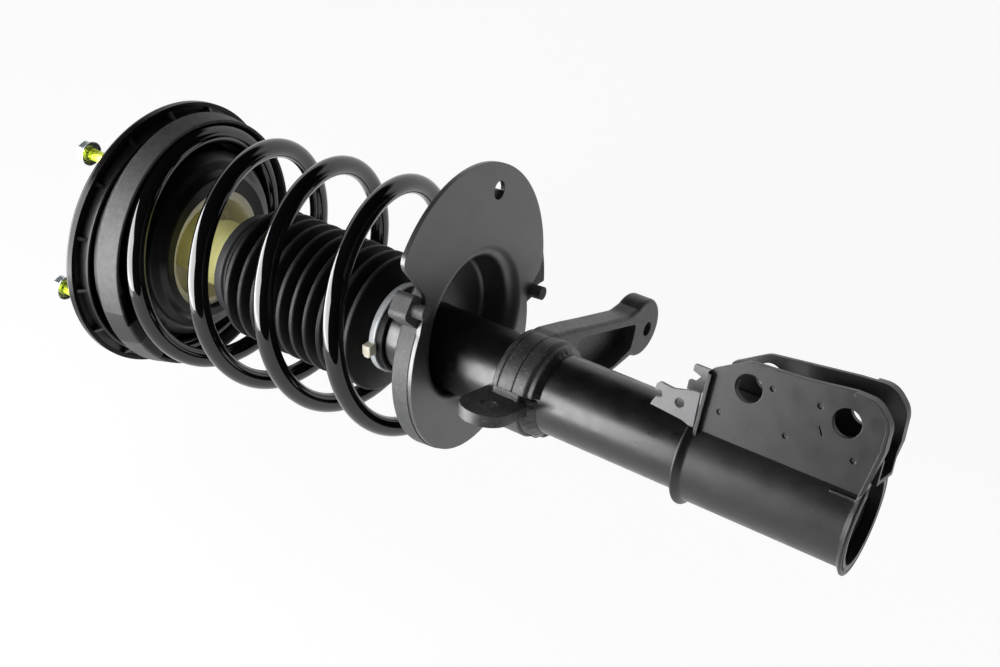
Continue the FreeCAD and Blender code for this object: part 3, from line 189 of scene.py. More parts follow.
# Studs and nuts of the mount. Heights are above z = 0.
STUD_CIRCLE = 156.0
STUD_AZIMUTHS = (-44.0, -119.5, 98.0)
STUD_RADIUS = 4.0
STUD_HEAD_RADIUS = 6.5
STUD_HEAD_TOP = -3.1
STUD_HEAD_FOOT = -5.8
STUD_TOP = 35.0
THREAD_START = 18.0
THREAD_END = 32.0
THREAD_PITCH = 1.25
THREAD_CREST = 3.95
THREAD_DEPTH = 0.62
THREAD_ROWS = 8              # to one turn
STUD_SHANK = (               # height and radius of each row below the thread
    (STUD_HEAD_FOOT, STUD_HEAD_RADIUS - 0.5),
    (STUD_HEAD_FOOT + 0.5, STUD_HEAD_RADIUS),
    (STUD_HEAD_TOP, STUD_HEAD_RADIUS),
    (STUD_HEAD_TOP, STUD_RADIUS),
    (THREAD_START, STUD_RADIUS),
)
STUD_POINT = (               # and of each above it
    (THREAD_END, STUD_RADIUS - 0.6),
    (THREAD_END + 0.4, STUD_RADIUS - 0.8),
    (STUD_TOP - 0.8, STUD_RADIUS - 0.8),
    (STUD_TOP, STUD_RADIUS - 1.5),
)
NUT_SEAT = 23.5
NUT_TOP = 31.5
NUT_FLATS = 13.0
NUT_BORE = STUD_RADIUS + 0.1
NUT_MOUTH = STUD_RADIUS + 0.9
NUT_FLANGE_RADIUS = 8.4
NUT_FLANGE = (               # height and radius of each row of the flange
    (NUT_SEAT, NUT_FLANGE_RADIUS - 0.3),
    (NUT_SEAT + 0.4, NUT_FLANGE_RADIUS),
    (NUT_SEAT + 1.1, NUT_FLANGE_RADIUS - 0.1),
)
NUT_HEXAGON = (              # height of each row above it, and how much is off the corners
    (NUT_SEAT + 2.3, 0.0),
    (NUT_TOP - 0.8, 0.0),
    (NUT_TOP - 0.35, 0.35),
)
NUT_TOP_RADIUS = NUT_FLATS / 2 - 0.1
NUT_FOOT_CHAMFER = 0.6
NUT_TOP_CHAMFER = 0.8
ROUND_SIDES = 72

# Cable tie
TIE_DROP = 210.0
TIE_WIDTH = 4.6
TIE_INSIDE = 28.5
TIE_OUTSIDE = 29.9
TIE_ROUNDING = 0.5
TIE_SIDES = 96
TIE_HEAD_AZIMUTH = -104.0
TIE_HEAD = (6.8, 7.4, 6.4)   # out, along the band and across it
TIE_HEAD_ROUNDING = 0.9
TIE_HEAD_SUNK = 0.2          # below the band's inside
TIE_STUB = (2.6, 1.3, 3.8)
TIE_STUB_ROUNDING = 0.3
TIE_STUB_DEPTH = 1.4         # of its middle, below the head's outer face
TIE_STUB_GAP = 0.4           # of its middle, from the head's side
TIE_ROUND_STEPS = 3
TIE_ROUND_PROFILE = 0.6      # slightly fuller than a quarter circle

# End stop of the upper isolator
STOP_AZIMUTH = -122.5
STOP_HALF_WIDTH = 9.5
STOP_FADE = 0.0004           # in the cosine of that angle

# Weld beads
BEAD_BORE = 25.6             # radius of the tube that they go round
BEAD_STEP = 0.5
BEAD_POINTS = 9              # across its face
BEAD_SUNK = 0.1              # into the face it lies on
BEAD_FULLNESS = 0.88         # share of its reach that the bead fills
BEAD_HOLLOW = 0.26           # share by which the middle of its face is sunk
BEAD_TAPER = 3               # steps over which each end narrows
BEAD_TIP = 0.6               # of a step, left at the very end
SCALE_PITCH = 2.1            # along the run
SCALE_HEIGHT = 0.008         # share of the bead's size
SCALE_BOW = 0.55             # share of the pitch, in the middle of the face
BEAD_WAVES = (               # share of its size, radians to a millimetre, start, slant across its face
    (0.050, 0.5, 0.0, 0.0),
    (0.020, 1.3, 1.0, 0.0),
    (0.012, 1.7, 0.0, 3.0),
    (0.010, 3.1, 0.0, -5.0),
)
BEADS = (                    # first azimuth, arc, drop of the face it lies on, reach out and down
    (-83.5, 276.0, 331.1, 3.7, 3.7),
    (193.0, 83.0, 323.0, 4.8, 5.0),
    (193.0, 83.0, 327.5, 4.6, 6.0),
    (110.0, 150.0, 430.3, 3.0, -3.6),
    (0.0, 359.0, 231.1, 4.0, -3.2),
)

ARC_STEPS = 7                # in each rounded corner
HARD_EDGE = 42.0             # a sharper angle between faces stays an edge

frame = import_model()
nodes = frame["nodes"]
cad_low, cad_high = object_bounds()


def on_circle(radius, azimuth):
    """Point at that radius and azimuth about Z."""
    a = math.radians(azimuth)
    return Vector((radius * math.cos(a), radius * math.sin(a), 0))


# Materials. Each entry names the nodes that wear it. Blotches, grain, edges and specks are widths in
# millimetres. A spread is the share by which the colour strays from the one given, and a roughness
# spread is how far the roughness does. Depth is the share of the light that goes in, and its reach is
# how far red, green and blue go.

SURFACES = {
    "gloss_black_paint": dict(
        wearers=("coil_spring",), colour=(0.0025, 0.0025, 0.003), roughness=0.06, roughness_spread=0.02,
        blotch=30.0, grain=2.4, grain_height=0.04),
    "mount_black_paint": dict(
        wearers=("mount_plate",), colour=(0.004, 0.004, 0.004), roughness=0.24, specular=0.12,
        blotch=24.0, grain=1.2, grain_height=0.06, edge=0.5),
    "satin_black_paint": dict(
        wearers=("strut_tube", "end_cap"), colour=(0.005, 0.005, 0.0055), roughness=0.32, specular=0.62,
        blotch=22.0, grain=0.5, grain_height=0.2,
        dust_and_glints=dict(colour=(0.30, 0.30, 0.31), amount=0.35, size=0.9, threshold=0.70)),
    "ear_black_paint": dict(
        wearers=("knuckle_bracket", "bracket_reinforcement"), colour=(0.015, 0.015, 0.016), roughness=0.40,
        spread=0.08, blotch=26.0, grain=0.5, grain_height=0.2, edge=0.7,
        dust_and_glints=dict(colour=(0.30, 0.30, 0.31), amount=0.3, size=0.9, threshold=0.70)),
    "plate_black_paint": dict(
        wearers=("lower_spring_seat",), colour=(0.030, 0.030, 0.0295), roughness=0.36,
        roughness_spread=0.03, specular=0.9, spread=0.08, blotch=40.0, grain=0.4, grain_height=0.22,
        edge=0.6),
    "hose_plate_paint": dict(
        wearers=("hose_bracket", "sensor_clip"), colour=(0.16, 0.16, 0.165), roughness=0.40,
        spread=0.12, blotch=9.0, grain=0.5, grain_height=0.18, edge=0.4),
    "forged_black_paint": dict(
        wearers=("steering_arm", "link_bracket"), colour=(0.035, 0.035, 0.035), roughness=0.44,
        spread=0.35, blotch=7.0, grain=1.3, grain_height=0.7, edge=1.2,
        dust_and_glints=dict(colour=(0.4, 0.4, 0.4), amount=0.4, size=0.9, threshold=0.64)),
    # Darker than the other black paints: painted shade for the dish, which the coil and the plates around it
    # keep in shade
    "seat_black_paint_painted_shade": dict(
        wearers=("upper_spring_seat",), colour=(0.002, 0.002, 0.0025), roughness=0.34, specular=0.3,
        blotch=20.0, grain=1.0, grain_height=0.1),
    "weld_black_paint": dict(
        wearers=("weld_beads",), colour=(0.012, 0.012, 0.013), roughness=0.34,
        spread=0.4, blotch=3.0, grain=2.2, grain_height=0.5,
        # Its pale specks are painted glints on the rough weld
        dust_and_glints=dict(colour=(0.5, 0.5, 0.5), amount=0.5, size=0.8, threshold=0.74)),
    "black_plastic": dict(
        wearers=("mount_rib_ring", "bearing_cage"), colour=(0.004, 0.004, 0.0045), roughness=0.38,
        blotch=14.0, grain=0.6, grain_height=0.12),
    "grey_rubber": dict(
        wearers=("lower_isolator",), colour=(0.056, 0.057, 0.059), roughness=0.6, specular=0.4,
        spread=0.18, blotch=5.0, grain=0.7, grain_height=0.45,
        dust_and_glints=dict(colour=(0.26, 0.26, 0.27), amount=0.5, size=0.9, threshold=0.64)),
    "band_rubber": dict(
        wearers=("upper_isolator",), colour=(0.044, 0.044, 0.046), roughness=0.6, specular=0.4,
        spread=0.3, blotch=5.0, grain=0.7, grain_height=0.45,
        dust_and_glints=dict(colour=(0.15, 0.15, 0.16), amount=0.5, size=0.9, threshold=0.64)),
    "boot_rubber": dict(
        wearers=("dust_boot", "rod_seal"), colour=(0.0045, 0.0045, 0.005), roughness=0.5, specular=0.2,
        spread=0.3, blotch=8.0, grain=0.9, grain_height=0.25),
    "bush_rubber": dict(
        wearers=("mount_bush",), colour=(0.014, 0.014, 0.015), roughness=0.6,
        spread=0.3, blotch=8.0, grain=0.9, grain_height=0.3),
    "yellow_foam": dict(
        wearers=("jounce_bumper",), colour=(0.95, 0.91, 0.40), roughness=0.8, specular=0.25,
        spread=0.05, blotch=12.0, grain=0.35, grain_height=0.5, depth=0.12, depth_reach=(3.0, 2.5, 1.0)),
    "cream_plastic": dict(
        wearers=("bumper_cup",), colour=(0.88, 0.84, 0.68), roughness=0.35,
        spread=0.06, blotch=16.0, grain=0.8, grain_height=0.1),
    "tie_plastic": dict(
        wearers=("cable_tie", "piston_band"), colour=(0.88, 0.92, 0.95), roughness=0.32,
        spread=0.05, blotch=10.0, grain=0.7, grain_height=0.08, depth=0.2, depth_reach=(2.0, 2.0, 2.0)),
    "yellow_zinc": dict(
        wearers=("tower_studs",), colour=(0.72, 0.86, 0.06), roughness=0.3, metallic=0.55,
        spread=0.12, blotch=4.0, grain=0.8, grain_height=0.04),
    "bright_zinc": dict(
        wearers=("tower_nuts", "rod_nut", "rod_washers", "bush_sleeve", "striker_cap", "piston_nut"),
        colour=(0.56, 0.61, 0.64), roughness=0.26, metallic=0.85,
        spread=0.12, blotch=4.0, grain=0.8, grain_height=0.04),
    "chrome": dict(
        wearers=("piston_rod",), colour=(0.62, 0.62, 0.64), roughness=0.08, roughness_spread=0.02,
        metallic=1.0, spread=0.03, blotch=20.0, grain=0.4, grain_height=0.02),
    "bearing_steel": dict(
        wearers=("bearing_upper_race", "bearing_lower_race", "bearing_balls", "rebound_stop",
                 "valve_shims", "piston", "pressure_tube", "base_valve", "rod_guide"),
        colour=(0.42, 0.43, 0.44), roughness=0.2, metallic=1.0,
        spread=0.08, blotch=10.0, grain=0.4, grain_height=0.05),
}
BLOTCH_DETAIL = 4.0
BLOTCH_RANGE = (0.3, 0.7)
GLOSS_BLOTCH = 0.4           # share of a colour's blotch
GLOSS_DETAIL = 5.0
FINE_DETAIL = 2.0
NOISE_ROUGHNESS = 0.55
GRAIN_DEPTH = 0.1
EDGE_SAMPLES = 4
DUST_AND_GLINT_ROUGHNESS = 0.5         # of its noise
DUST_AND_GLINT_FADE = 0.06
WORN_COLOUR = (0.024, 0.024, 0.026)
WORN_RANGE = (0.50, 0.56)    # of how sharply the surface bends
WORN_AMOUNT = 0.5
# Painted sheen on the boot's collar: a lighter colour laid over its black rubber
COLLAR_SHEEN_COLOUR = (0.040, 0.040, 0.043)
COLLAR_SHEEN_AMOUNT = 0.9
COLLAR_SHEEN_FADE = 0.4
STOP_COLOUR = (0.004, 0.004, 0.0045)


class Surface:
    """Paint, rubber, plastic or metal with soft blotches, fine grain and uneven gloss."""

    def __init__(self, name, wearers, colour, roughness, blotch, grain, grain_height, spread=0.15,
                 roughness_spread=0.06, metallic=0.0, specular=0.5, edge=0.0, dust_and_glints=None,
                 depth=0.0, depth_reach=None):
        self.wearers = wearers
        self.material = bpy.data.materials.new(name)
        self.material.use_nodes = True
        self.tree = self.material.node_tree
        self.tree.nodes.clear()
        self.shader = self.add("ShaderNodeBsdfPrincipled")
        self.place = self.add("ShaderNodeTexCoord")
        output = self.add("ShaderNodeOutputMaterial")
        self.join(self.shader, "BSDF", output, "Surface")
        self.shader.inputs["Metallic"].default_value = metallic
        self.shader.inputs["Specular IOR Level"].default_value = specular
        if depth:
            self.shader.inputs["Subsurface Weight"].default_value = depth
            self.shader.inputs["Subsurface Radius"].default_value = [reach * MM for reach in depth_reach]
        blotches = self.noise(blotch, BLOTCH_DETAIL)
        colours = self.add("ShaderNodeValToRGB")
        for stop, at, factor in zip(colours.color_ramp.elements, BLOTCH_RANGE, (1 - spread, 1 + spread)):
            stop.position = at
            stop.color = (*(min(1.0, c * factor) for c in colour), 1)
        self.join(blotches, "Fac", colours, "Fac")
        self.join(colours, "Color", self.shader, "Base Color")
        uneven = self.noise(blotch * GLOSS_BLOTCH, GLOSS_DETAIL)
        low, high = roughness - roughness_spread, roughness + roughness_spread
        gloss = self.span(uneven, "Fac", BLOTCH_RANGE, low, high)
        self.join(gloss, "Result", self.shader, "Roughness")
        bump = self.add("ShaderNodeBump")
        bump.inputs["Strength"].default_value = grain_height
        bump.inputs["Distance"].default_value = GRAIN_DEPTH * MM
        self.join(self.noise(grain, FINE_DETAIL), "Fac", bump, "Height")
        if edge:
            rounding = self.add("ShaderNodeBevel", samples=EDGE_SAMPLES)
            rounding.inputs["Radius"].default_value = edge * MM
            self.join(rounding, "Normal", bump, "Normal")
        self.join(bump, "Normal", self.shader, "Normal")
        if dust_and_glints:
            self.dust_and_glints(**dust_and_glints)

    def add(self, kind, **values):
        node = self.tree.nodes.new(kind)
        for key, value in values.items():
            setattr(node, key, value)
        return node

    def join(self, a, out, b, into):
        self.tree.links.new(a.outputs[out], b.inputs[into])

    def noise(self, size, detail, roughness=NOISE_ROUGHNESS):
        node = self.add("ShaderNodeTexNoise")
        node.inputs["Scale"].default_value = 1 / (size * MM)
        node.inputs["Detail"].default_value = detail
        node.inputs["Roughness"].default_value = roughness
        self.join(self.place, "Object", node, "Vector")
        return node

    def span(self, source, out, over, low, high):
        """Goes from low to high while the source goes over that range."""
        node = self.add("ShaderNodeMapRange")
        node.inputs["From Min"].default_value, node.inputs["From Max"].default_value = over
        node.inputs["To Min"].default_value = low
        node.inputs["To Max"].default_value = high
        self.join(source, out, node, "Value")
        return node

    def cover(self, mask, colour):
        """Mixes a colour over the surface's own where the mask is one."""
        mix = self.add("ShaderNodeMix", data_type="RGBA")
        factor, under, over = mix.inputs[0], mix.inputs[6], mix.inputs[7]
        base = self.shader.inputs["Base Color"]
        self.tree.links.new(mask.outputs["Result"], factor)
        self.tree.links.new(base.links[0].from_socket, under)
        over.default_value = (*colour, 1)
        self.tree.links.new(mix.outputs[2], base)

    def dust_and_glints(self, colour, amount, size, threshold):
        """Small pale specks: dust, and on the weld painted glints."""
        specks = self.noise(size, FINE_DETAIL, DUST_AND_GLINT_ROUGHNESS)
        self.cover(self.span(specks, "Fac", (threshold, threshold + DUST_AND_GLINT_FADE), 0.0, amount), colour)

    def wear(self):
        """Lighter where the surface bends sharply outward."""
        shape = self.add("ShaderNodeNewGeometry")
        self.cover(self.span(shape, "Pointiness", WORN_RANGE, 0.0, WORN_AMOUNT), WORN_COLOUR)

    def paint_collar_sheen(self):
        """Painted sheen: lighter on the boot's collar, above the rubber that stretches."""
        place = self.add("ShaderNodeSeparateXYZ")
        self.join(self.place, "Object", place, "Vector")
        over = ((-BOOT_FREE_TOP - COLLAR_SHEEN_FADE) * MM, -BOOT_FREE_TOP * MM)
        self.cover(self.span(place, "Z", over, 0.0, COLLAR_SHEEN_AMOUNT), COLLAR_SHEEN_COLOUR)

    def blacken_stop(self):
        """Black on the part of the band that stops the wire's end."""
        flat = self.add("ShaderNodeVectorMath", operation="MULTIPLY")
        flat.inputs[1].default_value = (1, 1, 0)
        self.join(self.place, "Object", flat, 0)
        unit = self.add("ShaderNodeVectorMath", operation="NORMALIZE")
        self.join(flat, "Vector", unit, 0)
        share = self.add("ShaderNodeVectorMath", operation="DOT_PRODUCT")
        share.inputs[1].default_value = on_circle(1, STOP_AZIMUTH)
        self.join(unit, "Vector", share, 0)
        edge = math.cos(math.radians(STOP_HALF_WIDTH))
        self.cover(self.span(share, "Value", (edge - STOP_FADE, edge + STOP_FADE), 0.0, 1.0), STOP_COLOUR)


looks = {}
surfaces = {}
for label, values in SURFACES.items():
    surfaces[label] = Surface(label, **values)
    for name in surfaces[label].wearers:
        looks[name] = surfaces[label].material
        mesh = nodes[name].data
        mesh.materials.clear()
        mesh.materials.append(looks[name])
surfaces["boot_rubber"].wear()
# painted sheen on the boot's collar
surfaces["boot_rubber"].paint_collar_sheen()
surfaces["band_rubber"].blacken_stop()


# Mesh helpers

def piece(name, verts, faces, look):
    """Object of those points and faces, smooth but for its hard edges."""
    mesh = bpy.data.meshes.new(name)
    mesh.from_pydata([tuple(v) for v in verts], [], faces)
    mesh.validate()
    work = bmesh.new()
    work.from_mesh(mesh)
    bmesh.ops.recalc_face_normals(work, faces=work.faces)
    for edge in work.edges:
        sharp = len(edge.link_faces) == 2 and edge.calc_face_angle() > math.radians(HARD_EDGE)
        edge.smooth = not sharp
    for face in work.faces:
        face.smooth = True
    work.to_mesh(mesh)
    work.free()
    mesh.materials.append(look)
    made = bpy.data.objects.new(name, mesh)
    bpy.context.scene.collection.objects.link(made)
    return made


def joined(parts):
    """Points and faces of several meshes as one."""
    verts, faces = [], []
    for some, found in parts:
        first = len(verts)
        verts += some
        faces += [tuple(first + i for i in face) for face in found]
    return verts, faces


def strips(rings, points, closed_rings=False):
    """Faces that join each ring to the next, and the last to the first where the rings close."""
    faces = []
    for i in range(rings if closed_rings else rings - 1):
        here, there = i * points, (i + 1) % rings * points
        for k in range(points):
            m = (k + 1) % points
            faces.append((here + k, here + m, there + m, there + k))
    return faces


def turned(profile, sides):
    """Points and faces of a closed profile of radius and height turned about Z."""
    verts = []
    for k in range(sides):
        a = 2 * math.pi * k / sides
        verts += [Vector((r * math.cos(a), r * math.sin(a), z)) * MM for r, z in profile]
    return verts, strips(sides, len(profile), closed_rings=True)


def rounded(corners, steps=ARC_STEPS):
    """Closed profile of radius and height through corners given by radius, drop and rounding."""
    points = [Vector((radius, -drop)) for radius, drop, rounding in corners]
    found = []
    for i, corner in enumerate(points):
        rounding = corners[i][2]
        if not rounding:
            found.append(tuple(corner))
            continue
        before = (points[i - 1] - corner).normalized()
        after = (points[(i + 1) % len(points)] - corner).normalized()
        half = before.angle(after) / 2
        middle = corner + (before + after).normalized() * (rounding / math.sin(half))
        first = corner + before * (rounding / math.tan(half)) - middle
        sweep = math.pi - 2 * half
        side = 1 if before.x * after.y - before.y * after.x < 0 else -1
        for k in range(steps + 1):
            found.append(tuple(middle + Matrix.Rotation(side * sweep * k / steps, 2) @ first))
    return found


LEAN_AXIS = on_circle(1, LEAN_AZIMUTH - 90)
PIVOT = Vector((0, 0, -PIVOT_DROP))
LEAN_TURN = Matrix.Rotation(math.radians(LEAN), 4, LEAN_AXIS)
LEANT = Matrix.Translation(PIVOT) @ LEAN_TURN @ Matrix.Translation(-PIVOT)


# Coil spring

def coil_point(turn):
    """Middle of the wire after that many turns from its upper end, before the spring leans."""
    drop = COIL_DROP + PITCH * min(turn, UPPER_CLOSING) ** 2 / (2 * UPPER_CLOSING)
    drop += PITCH * max(turn - UPPER_CLOSING, 0.0)
    lower = max(turn - (COIL_TURNS - LOWER_CLOSED), 0.0)
    drop -= PITCH * lower ** 2 / (2 * LOWER_CLOSING)
    return on_circle(COIL_RADIUS, FIRST_TURN_AZIMUTH - 360 * turn) - Vector((0, 0, drop))


def coil_share(turn):
    """How much of the stroke that section of the wire follows: none in its upper seat, all in its lower."""
    start, end = UPPER_SEATED, COIL_TURNS - LOWER_SEATED
    t = min(1.0, max(0.0, (turn - start) / (end - start)))
    if t < STROKE_EASE:
        return t * t / (2 * STROKE_EASE) / (1 - STROKE_EASE)
    if t > 1 - STROKE_EASE:
        return 1 - (1 - t) ** 2 / (2 * STROKE_EASE) / (1 - STROKE_EASE)
    return (t - STROKE_EASE / 2) / (1 - STROKE_EASE)


def wire_ring(turn, scale, inset):
    """Points of the wire's section at that turn, drawn in from the wire's end by the inset."""
    along = (coil_point(turn + SMALL_TURN) - coil_point(turn - SMALL_TURN)).normalized()
    centre = coil_point(turn) + along * (inset if turn == 0 else -inset)
    out = Vector((centre.x, centre.y, 0)).normalized()
    out = (out - along * out.dot(along)).normalized()
    up = along.cross(out)
    ring = []
    for k in range(WIRE_SIDES):
        a = 2 * math.pi * k / WIRE_SIDES
        offset = (out * math.cos(a) + up * math.sin(a)) * WIRE_RADIUS * scale
        ring.append((LEANT @ (centre + offset)) * MM)
    return ring


def coil_spring():
    count = int(COIL_TURNS * RINGS_PER_TURN)
    end_scale = 1 - END_CHAMFER / WIRE_RADIUS
    stations = [(0.0, end_scale, 0.0)]
    for k in range(count + 1):
        stations.append((COIL_TURNS * k / count, 1.0, END_CHAMFER if k in (0, count) else 0.0))
    stations.append((COIL_TURNS, end_scale, 0.0))
    verts, shares = [], []
    for turn, scale, inset in stations:
        verts += wire_ring(turn, scale, inset)
        shares += [coil_share(turn)] * WIRE_SIDES
    faces = strips(len(stations), WIRE_SIDES)
    faces.append(tuple(range(WIRE_SIDES)))
    faces.append(tuple(range(len(verts) - WIRE_SIDES, len(verts))))
    made = piece("coil_spring_wire", verts, faces, looks["coil_spring"])
    top, foot = LEANT @ coil_point(0) * MM, LEANT @ coil_point(COIL_TURNS) * MM
    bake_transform(made)
    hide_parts("coil_spring")


# Dust boot

def boot_ribs(inward, crest, root):
    """Corners of the ribs from the top down, that far inside the boot's outer face."""
    corners = []
    for k in range(2 * BOOT_RIBS - 1):
        radius = BOOT_ROOT_RADIUS if k % 2 else BOOT_CREST_RADIUS
        flat, rounding = root if k % 2 else crest
        middle = BOOT_FIRST_CREST_DROP + BOOT_PITCH * k / 2
        corners += [(radius - inward, middle + side * flat, rounding) for side in (-1, 1)]
    return corners


def boot_profile():
    """Outside from the top down, then the wall's inside back up."""
    outside = boot_ribs(0, BOOT_CREST, BOOT_ROOT)
    inside = boot_ribs(BOOT_WALL, BOOT_INSIDE, BOOT_INSIDE)
    return rounded([*BOOT_HEAD, *outside, *BOOT_NECK, *reversed(inside), *BOOT_THROAT], BOOT_ARC_STEPS)


def dust_boot():
    verts, faces = turned(boot_profile(), BOOT_SIDES)
    made = piece("dust_boot_bellows", verts, faces, looks["dust_boot"])
    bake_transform(made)
    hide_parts("dust_boot")


# Foam bumper

def jounce_bumper():
    verts, faces = turned(rounded(BUMPER_PROFILE), BUMPER_SIDES)
    made = piece("jounce_bumper_foam", verts, faces, looks["jounce_bumper"])
    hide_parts("jounce_bumper")
    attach(made, "spring_seat")


# Studs and nuts

def lathe(rows, sides):
    """Solid through rows of points about Z. A row is a height and a radius for each angle."""
    verts = []
    for height, radius_at in rows:
        for k in range(sides):
            a = 2 * math.pi * k / sides
            r = radius_at(a)
            verts.append(Vector((r * math.cos(a), r * math.sin(a), height)))
    return verts, strips(len(rows), sides)


def plain(radius):
    """The same radius at each angle."""
    return lambda angle: radius


def thread(height):
    """Radius of the thread at that height, for each angle. Its groove fades in and out at the ends."""
    def radius_at(angle):
        phase = (height / THREAD_PITCH - angle / (2 * math.pi)) % 1.0
        lead = min(1.0, (height - THREAD_START) / THREAD_PITCH, (THREAD_END - height) / THREAD_PITCH)
        return THREAD_CREST - THREAD_DEPTH * abs(2 * phase - 1) * max(lead, 0.0)
    return radius_at


def stud_rows():
    rows = [(height, plain(radius)) for height, radius in STUD_SHANK]
    steps = round((THREAD_END - THREAD_START) / THREAD_PITCH * THREAD_ROWS)
    for k in range(1, steps):
        height = THREAD_START + (THREAD_END - THREAD_START) * k / steps
        rows.append((height, thread(height)))
    return rows + [(height, plain(radius)) for height, radius in STUD_POINT]


def hexagonal(limit):
    """Radius of the nut's hexagon for each angle, with its corners cut to a limit."""
    def radius_at(angle):
        turn = (angle + math.pi / 6) % (math.pi / 3) - math.pi / 6
        return min(limit, NUT_FLATS / 2 / math.cos(math.pi / 6 - abs(turn)))
    return radius_at


def nut_rows():
    corner = NUT_FLATS / math.sqrt(3)
    rows = [(NUT_SEAT + NUT_FOOT_CHAMFER, plain(NUT_BORE)), (NUT_SEAT, plain(NUT_MOUTH))]
    rows += [(height, plain(radius)) for height, radius in NUT_FLANGE]
    rows += [(height, hexagonal(corner - off)) for height, off in NUT_HEXAGON]
    rows += [(NUT_TOP, hexagonal(NUT_TOP_RADIUS)), (NUT_TOP, plain(NUT_MOUTH))]
    return rows + [(NUT_TOP - NUT_TOP_CHAMFER, plain(NUT_BORE))]


def at_studs(name, rows, node, capped):
    """The turned shape at each stud. Capped, it is solid and painted like the plate below z = 0."""
    verts, faces = lathe(rows, ROUND_SIDES)
    foot, top = range(ROUND_SIDES), range(len(verts) - ROUND_SIDES, len(verts))
    if capped:
        faces += [tuple(foot), tuple(top)]
    else:
        for k in range(ROUND_SIDES):
            m = (k + 1) % ROUND_SIDES
            faces.append((foot[k], foot[m], top[m], top[k]))
    places = [on_circle(STUD_CIRCLE / 2, azimuth) for azimuth in STUD_AZIMUTHS]
    copies = [([(v + place) * MM for v in verts], faces) for place in places]
    made = piece(name, *joined(copies), looks[node])
    if capped:
        made.data.materials.append(looks["mount_plate"])
        for face in made.data.polygons:
            face.material_index = int(face.center.z < 0)
    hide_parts(node)
    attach(made, "top_mount")


# Cable tie

def block(size, place, rounding):
    """Rounded block at a place that is given for azimuth 0, turned to that of the tie's head."""
    turn = Matrix.Rotation(math.radians(TIE_HEAD_AZIMUTH), 4, "Z")
    work = bmesh.new()
    bmesh.ops.create_cube(work, size=1.0)
    bmesh.ops.scale(work, vec=size, verts=work.verts)
    bmesh.ops.bevel(work, geom=work.edges, offset=rounding, segments=TIE_ROUND_STEPS,
                    profile=TIE_ROUND_PROFILE, affect="EDGES")
    work.verts.ensure_lookup_table()
    verts = [(turn @ (v.co + place)) * MM for v in work.verts]
    faces = [tuple(v.index for v in f.verts) for f in work.faces]
    work.free()
    return verts, faces


def cable_tie():
    half = TIE_WIDTH / 2
    band = turned(rounded([
        (TIE_INSIDE, TIE_DROP - half, 0), (TIE_OUTSIDE, TIE_DROP - half, TIE_ROUNDING),
        (TIE_OUTSIDE, TIE_DROP + half, TIE_ROUNDING), (TIE_INSIDE, TIE_DROP + half, 0),
    ]), TIE_SIDES)
    deep, along = TIE_HEAD[:2]
    outer = TIE_INSIDE - TIE_HEAD_SUNK + deep
    head_at = Vector((outer - deep / 2, 0, -TIE_DROP))
    stub_at = Vector((outer - TIE_STUB_DEPTH, -along / 2 - TIE_STUB_GAP, -TIE_DROP))
    head = block(TIE_HEAD, head_at, TIE_HEAD_ROUNDING)
    stub = block(TIE_STUB, stub_at, TIE_STUB_ROUNDING)
    made = piece("cable_tie_band", *joined([band, head, stub]), looks["cable_tie"])
    made.data.materials.append(looks["bumper_cup"])
    for face in made.data.polygons:
        face.material_index = int(face.index >= len(band[1]))
    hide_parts("cable_tie")
    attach(made, "strut_body")


# Weld beads

def bead(start, arc, drop, out, down):
    """Fillet on the tube, from a face that reaches out at that drop, scaled like a run of weld."""
    verts = []
    count = max(2, round(arc / BEAD_STEP))
    for i in range(count + 1):
        azimuth = start + arc * i / count
        run = math.radians(azimuth) * BEAD_BORE
        taper = min(1.0, (i + BEAD_TIP) / BEAD_TAPER, (count - i + BEAD_TIP) / BEAD_TAPER)
        for j in range(BEAD_POINTS):
            u = j / (BEAD_POINTS - 1)
            a = math.pi / 2 * u
            middle = math.sin(2 * a)
            lag = SCALE_PITCH * SCALE_BOW * (1 - (2 * u - 1) ** 2)
            size = BEAD_FULLNESS + SCALE_HEIGHT * math.sin(math.pi * (run + lag) / SCALE_PITCH) ** 2
            for share, rate, begin, slant in BEAD_WAVES:
                size += share * math.sin(rate * run + begin + slant * u) * middle
            size *= taper * (1 - BEAD_HOLLOW * middle)
            radius = BEAD_BORE + out * size * math.cos(a)
            height = math.copysign(BEAD_SUNK, down) - drop - down * size * math.sin(a)
            verts.append((on_circle(radius, azimuth) + Vector((0, 0, height))) * MM)
        verts.append((on_circle(BEAD_BORE, azimuth) - Vector((0, 0, drop))) * MM)
    points = BEAD_POINTS + 1
    faces = strips(count + 1, points)
    faces.append(tuple(range(points)))
    faces.append(tuple(range(count * points, (count + 1) * points)))
    return verts, faces


def weld_beads():
    made = piece("weld_beads_scaled", *joined([bead(*run) for run in BEADS]), looks["weld_beads"])
    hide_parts("weld_beads")
    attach(made, "strut_body")


coil_spring()
dust_boot()
jounce_bumper()
weld_beads()
at_studs("tower_studs_threaded", stud_rows(), "tower_studs", True)
at_studs("tower_nuts_flanged", nut_rows(), "tower_nuts", False)
cable_tie()


# Camera

def camera():
    """Makes the camera, and gives its axes to the right, up and back."""
    data = bpy.data.cameras.new("camera")
    data.sensor_width = SENSOR_WIDTH
    data.lens = SENSOR_WIDTH * FOCAL_LENGTH / IMAGE_WIDTH
    data.clip_start, data.clip_end = NEAREST, FARTHEST
    made = bpy.data.objects.new("camera", data)
    made.rotation_mode = "QUATERNION"
    made.location = CAMERA_PLACE
    level = (CAMERA_AIM - CAMERA_PLACE).to_track_quat("-Z", "Y")
    made.rotation_quaternion = level @ Quaternion((0, 0, 1), math.radians(CAMERA_ROLL))
    bpy.context.scene.collection.objects.link(made)
    bpy.context.scene.camera = made
    return made.rotation_quaternion.to_matrix().transposed()


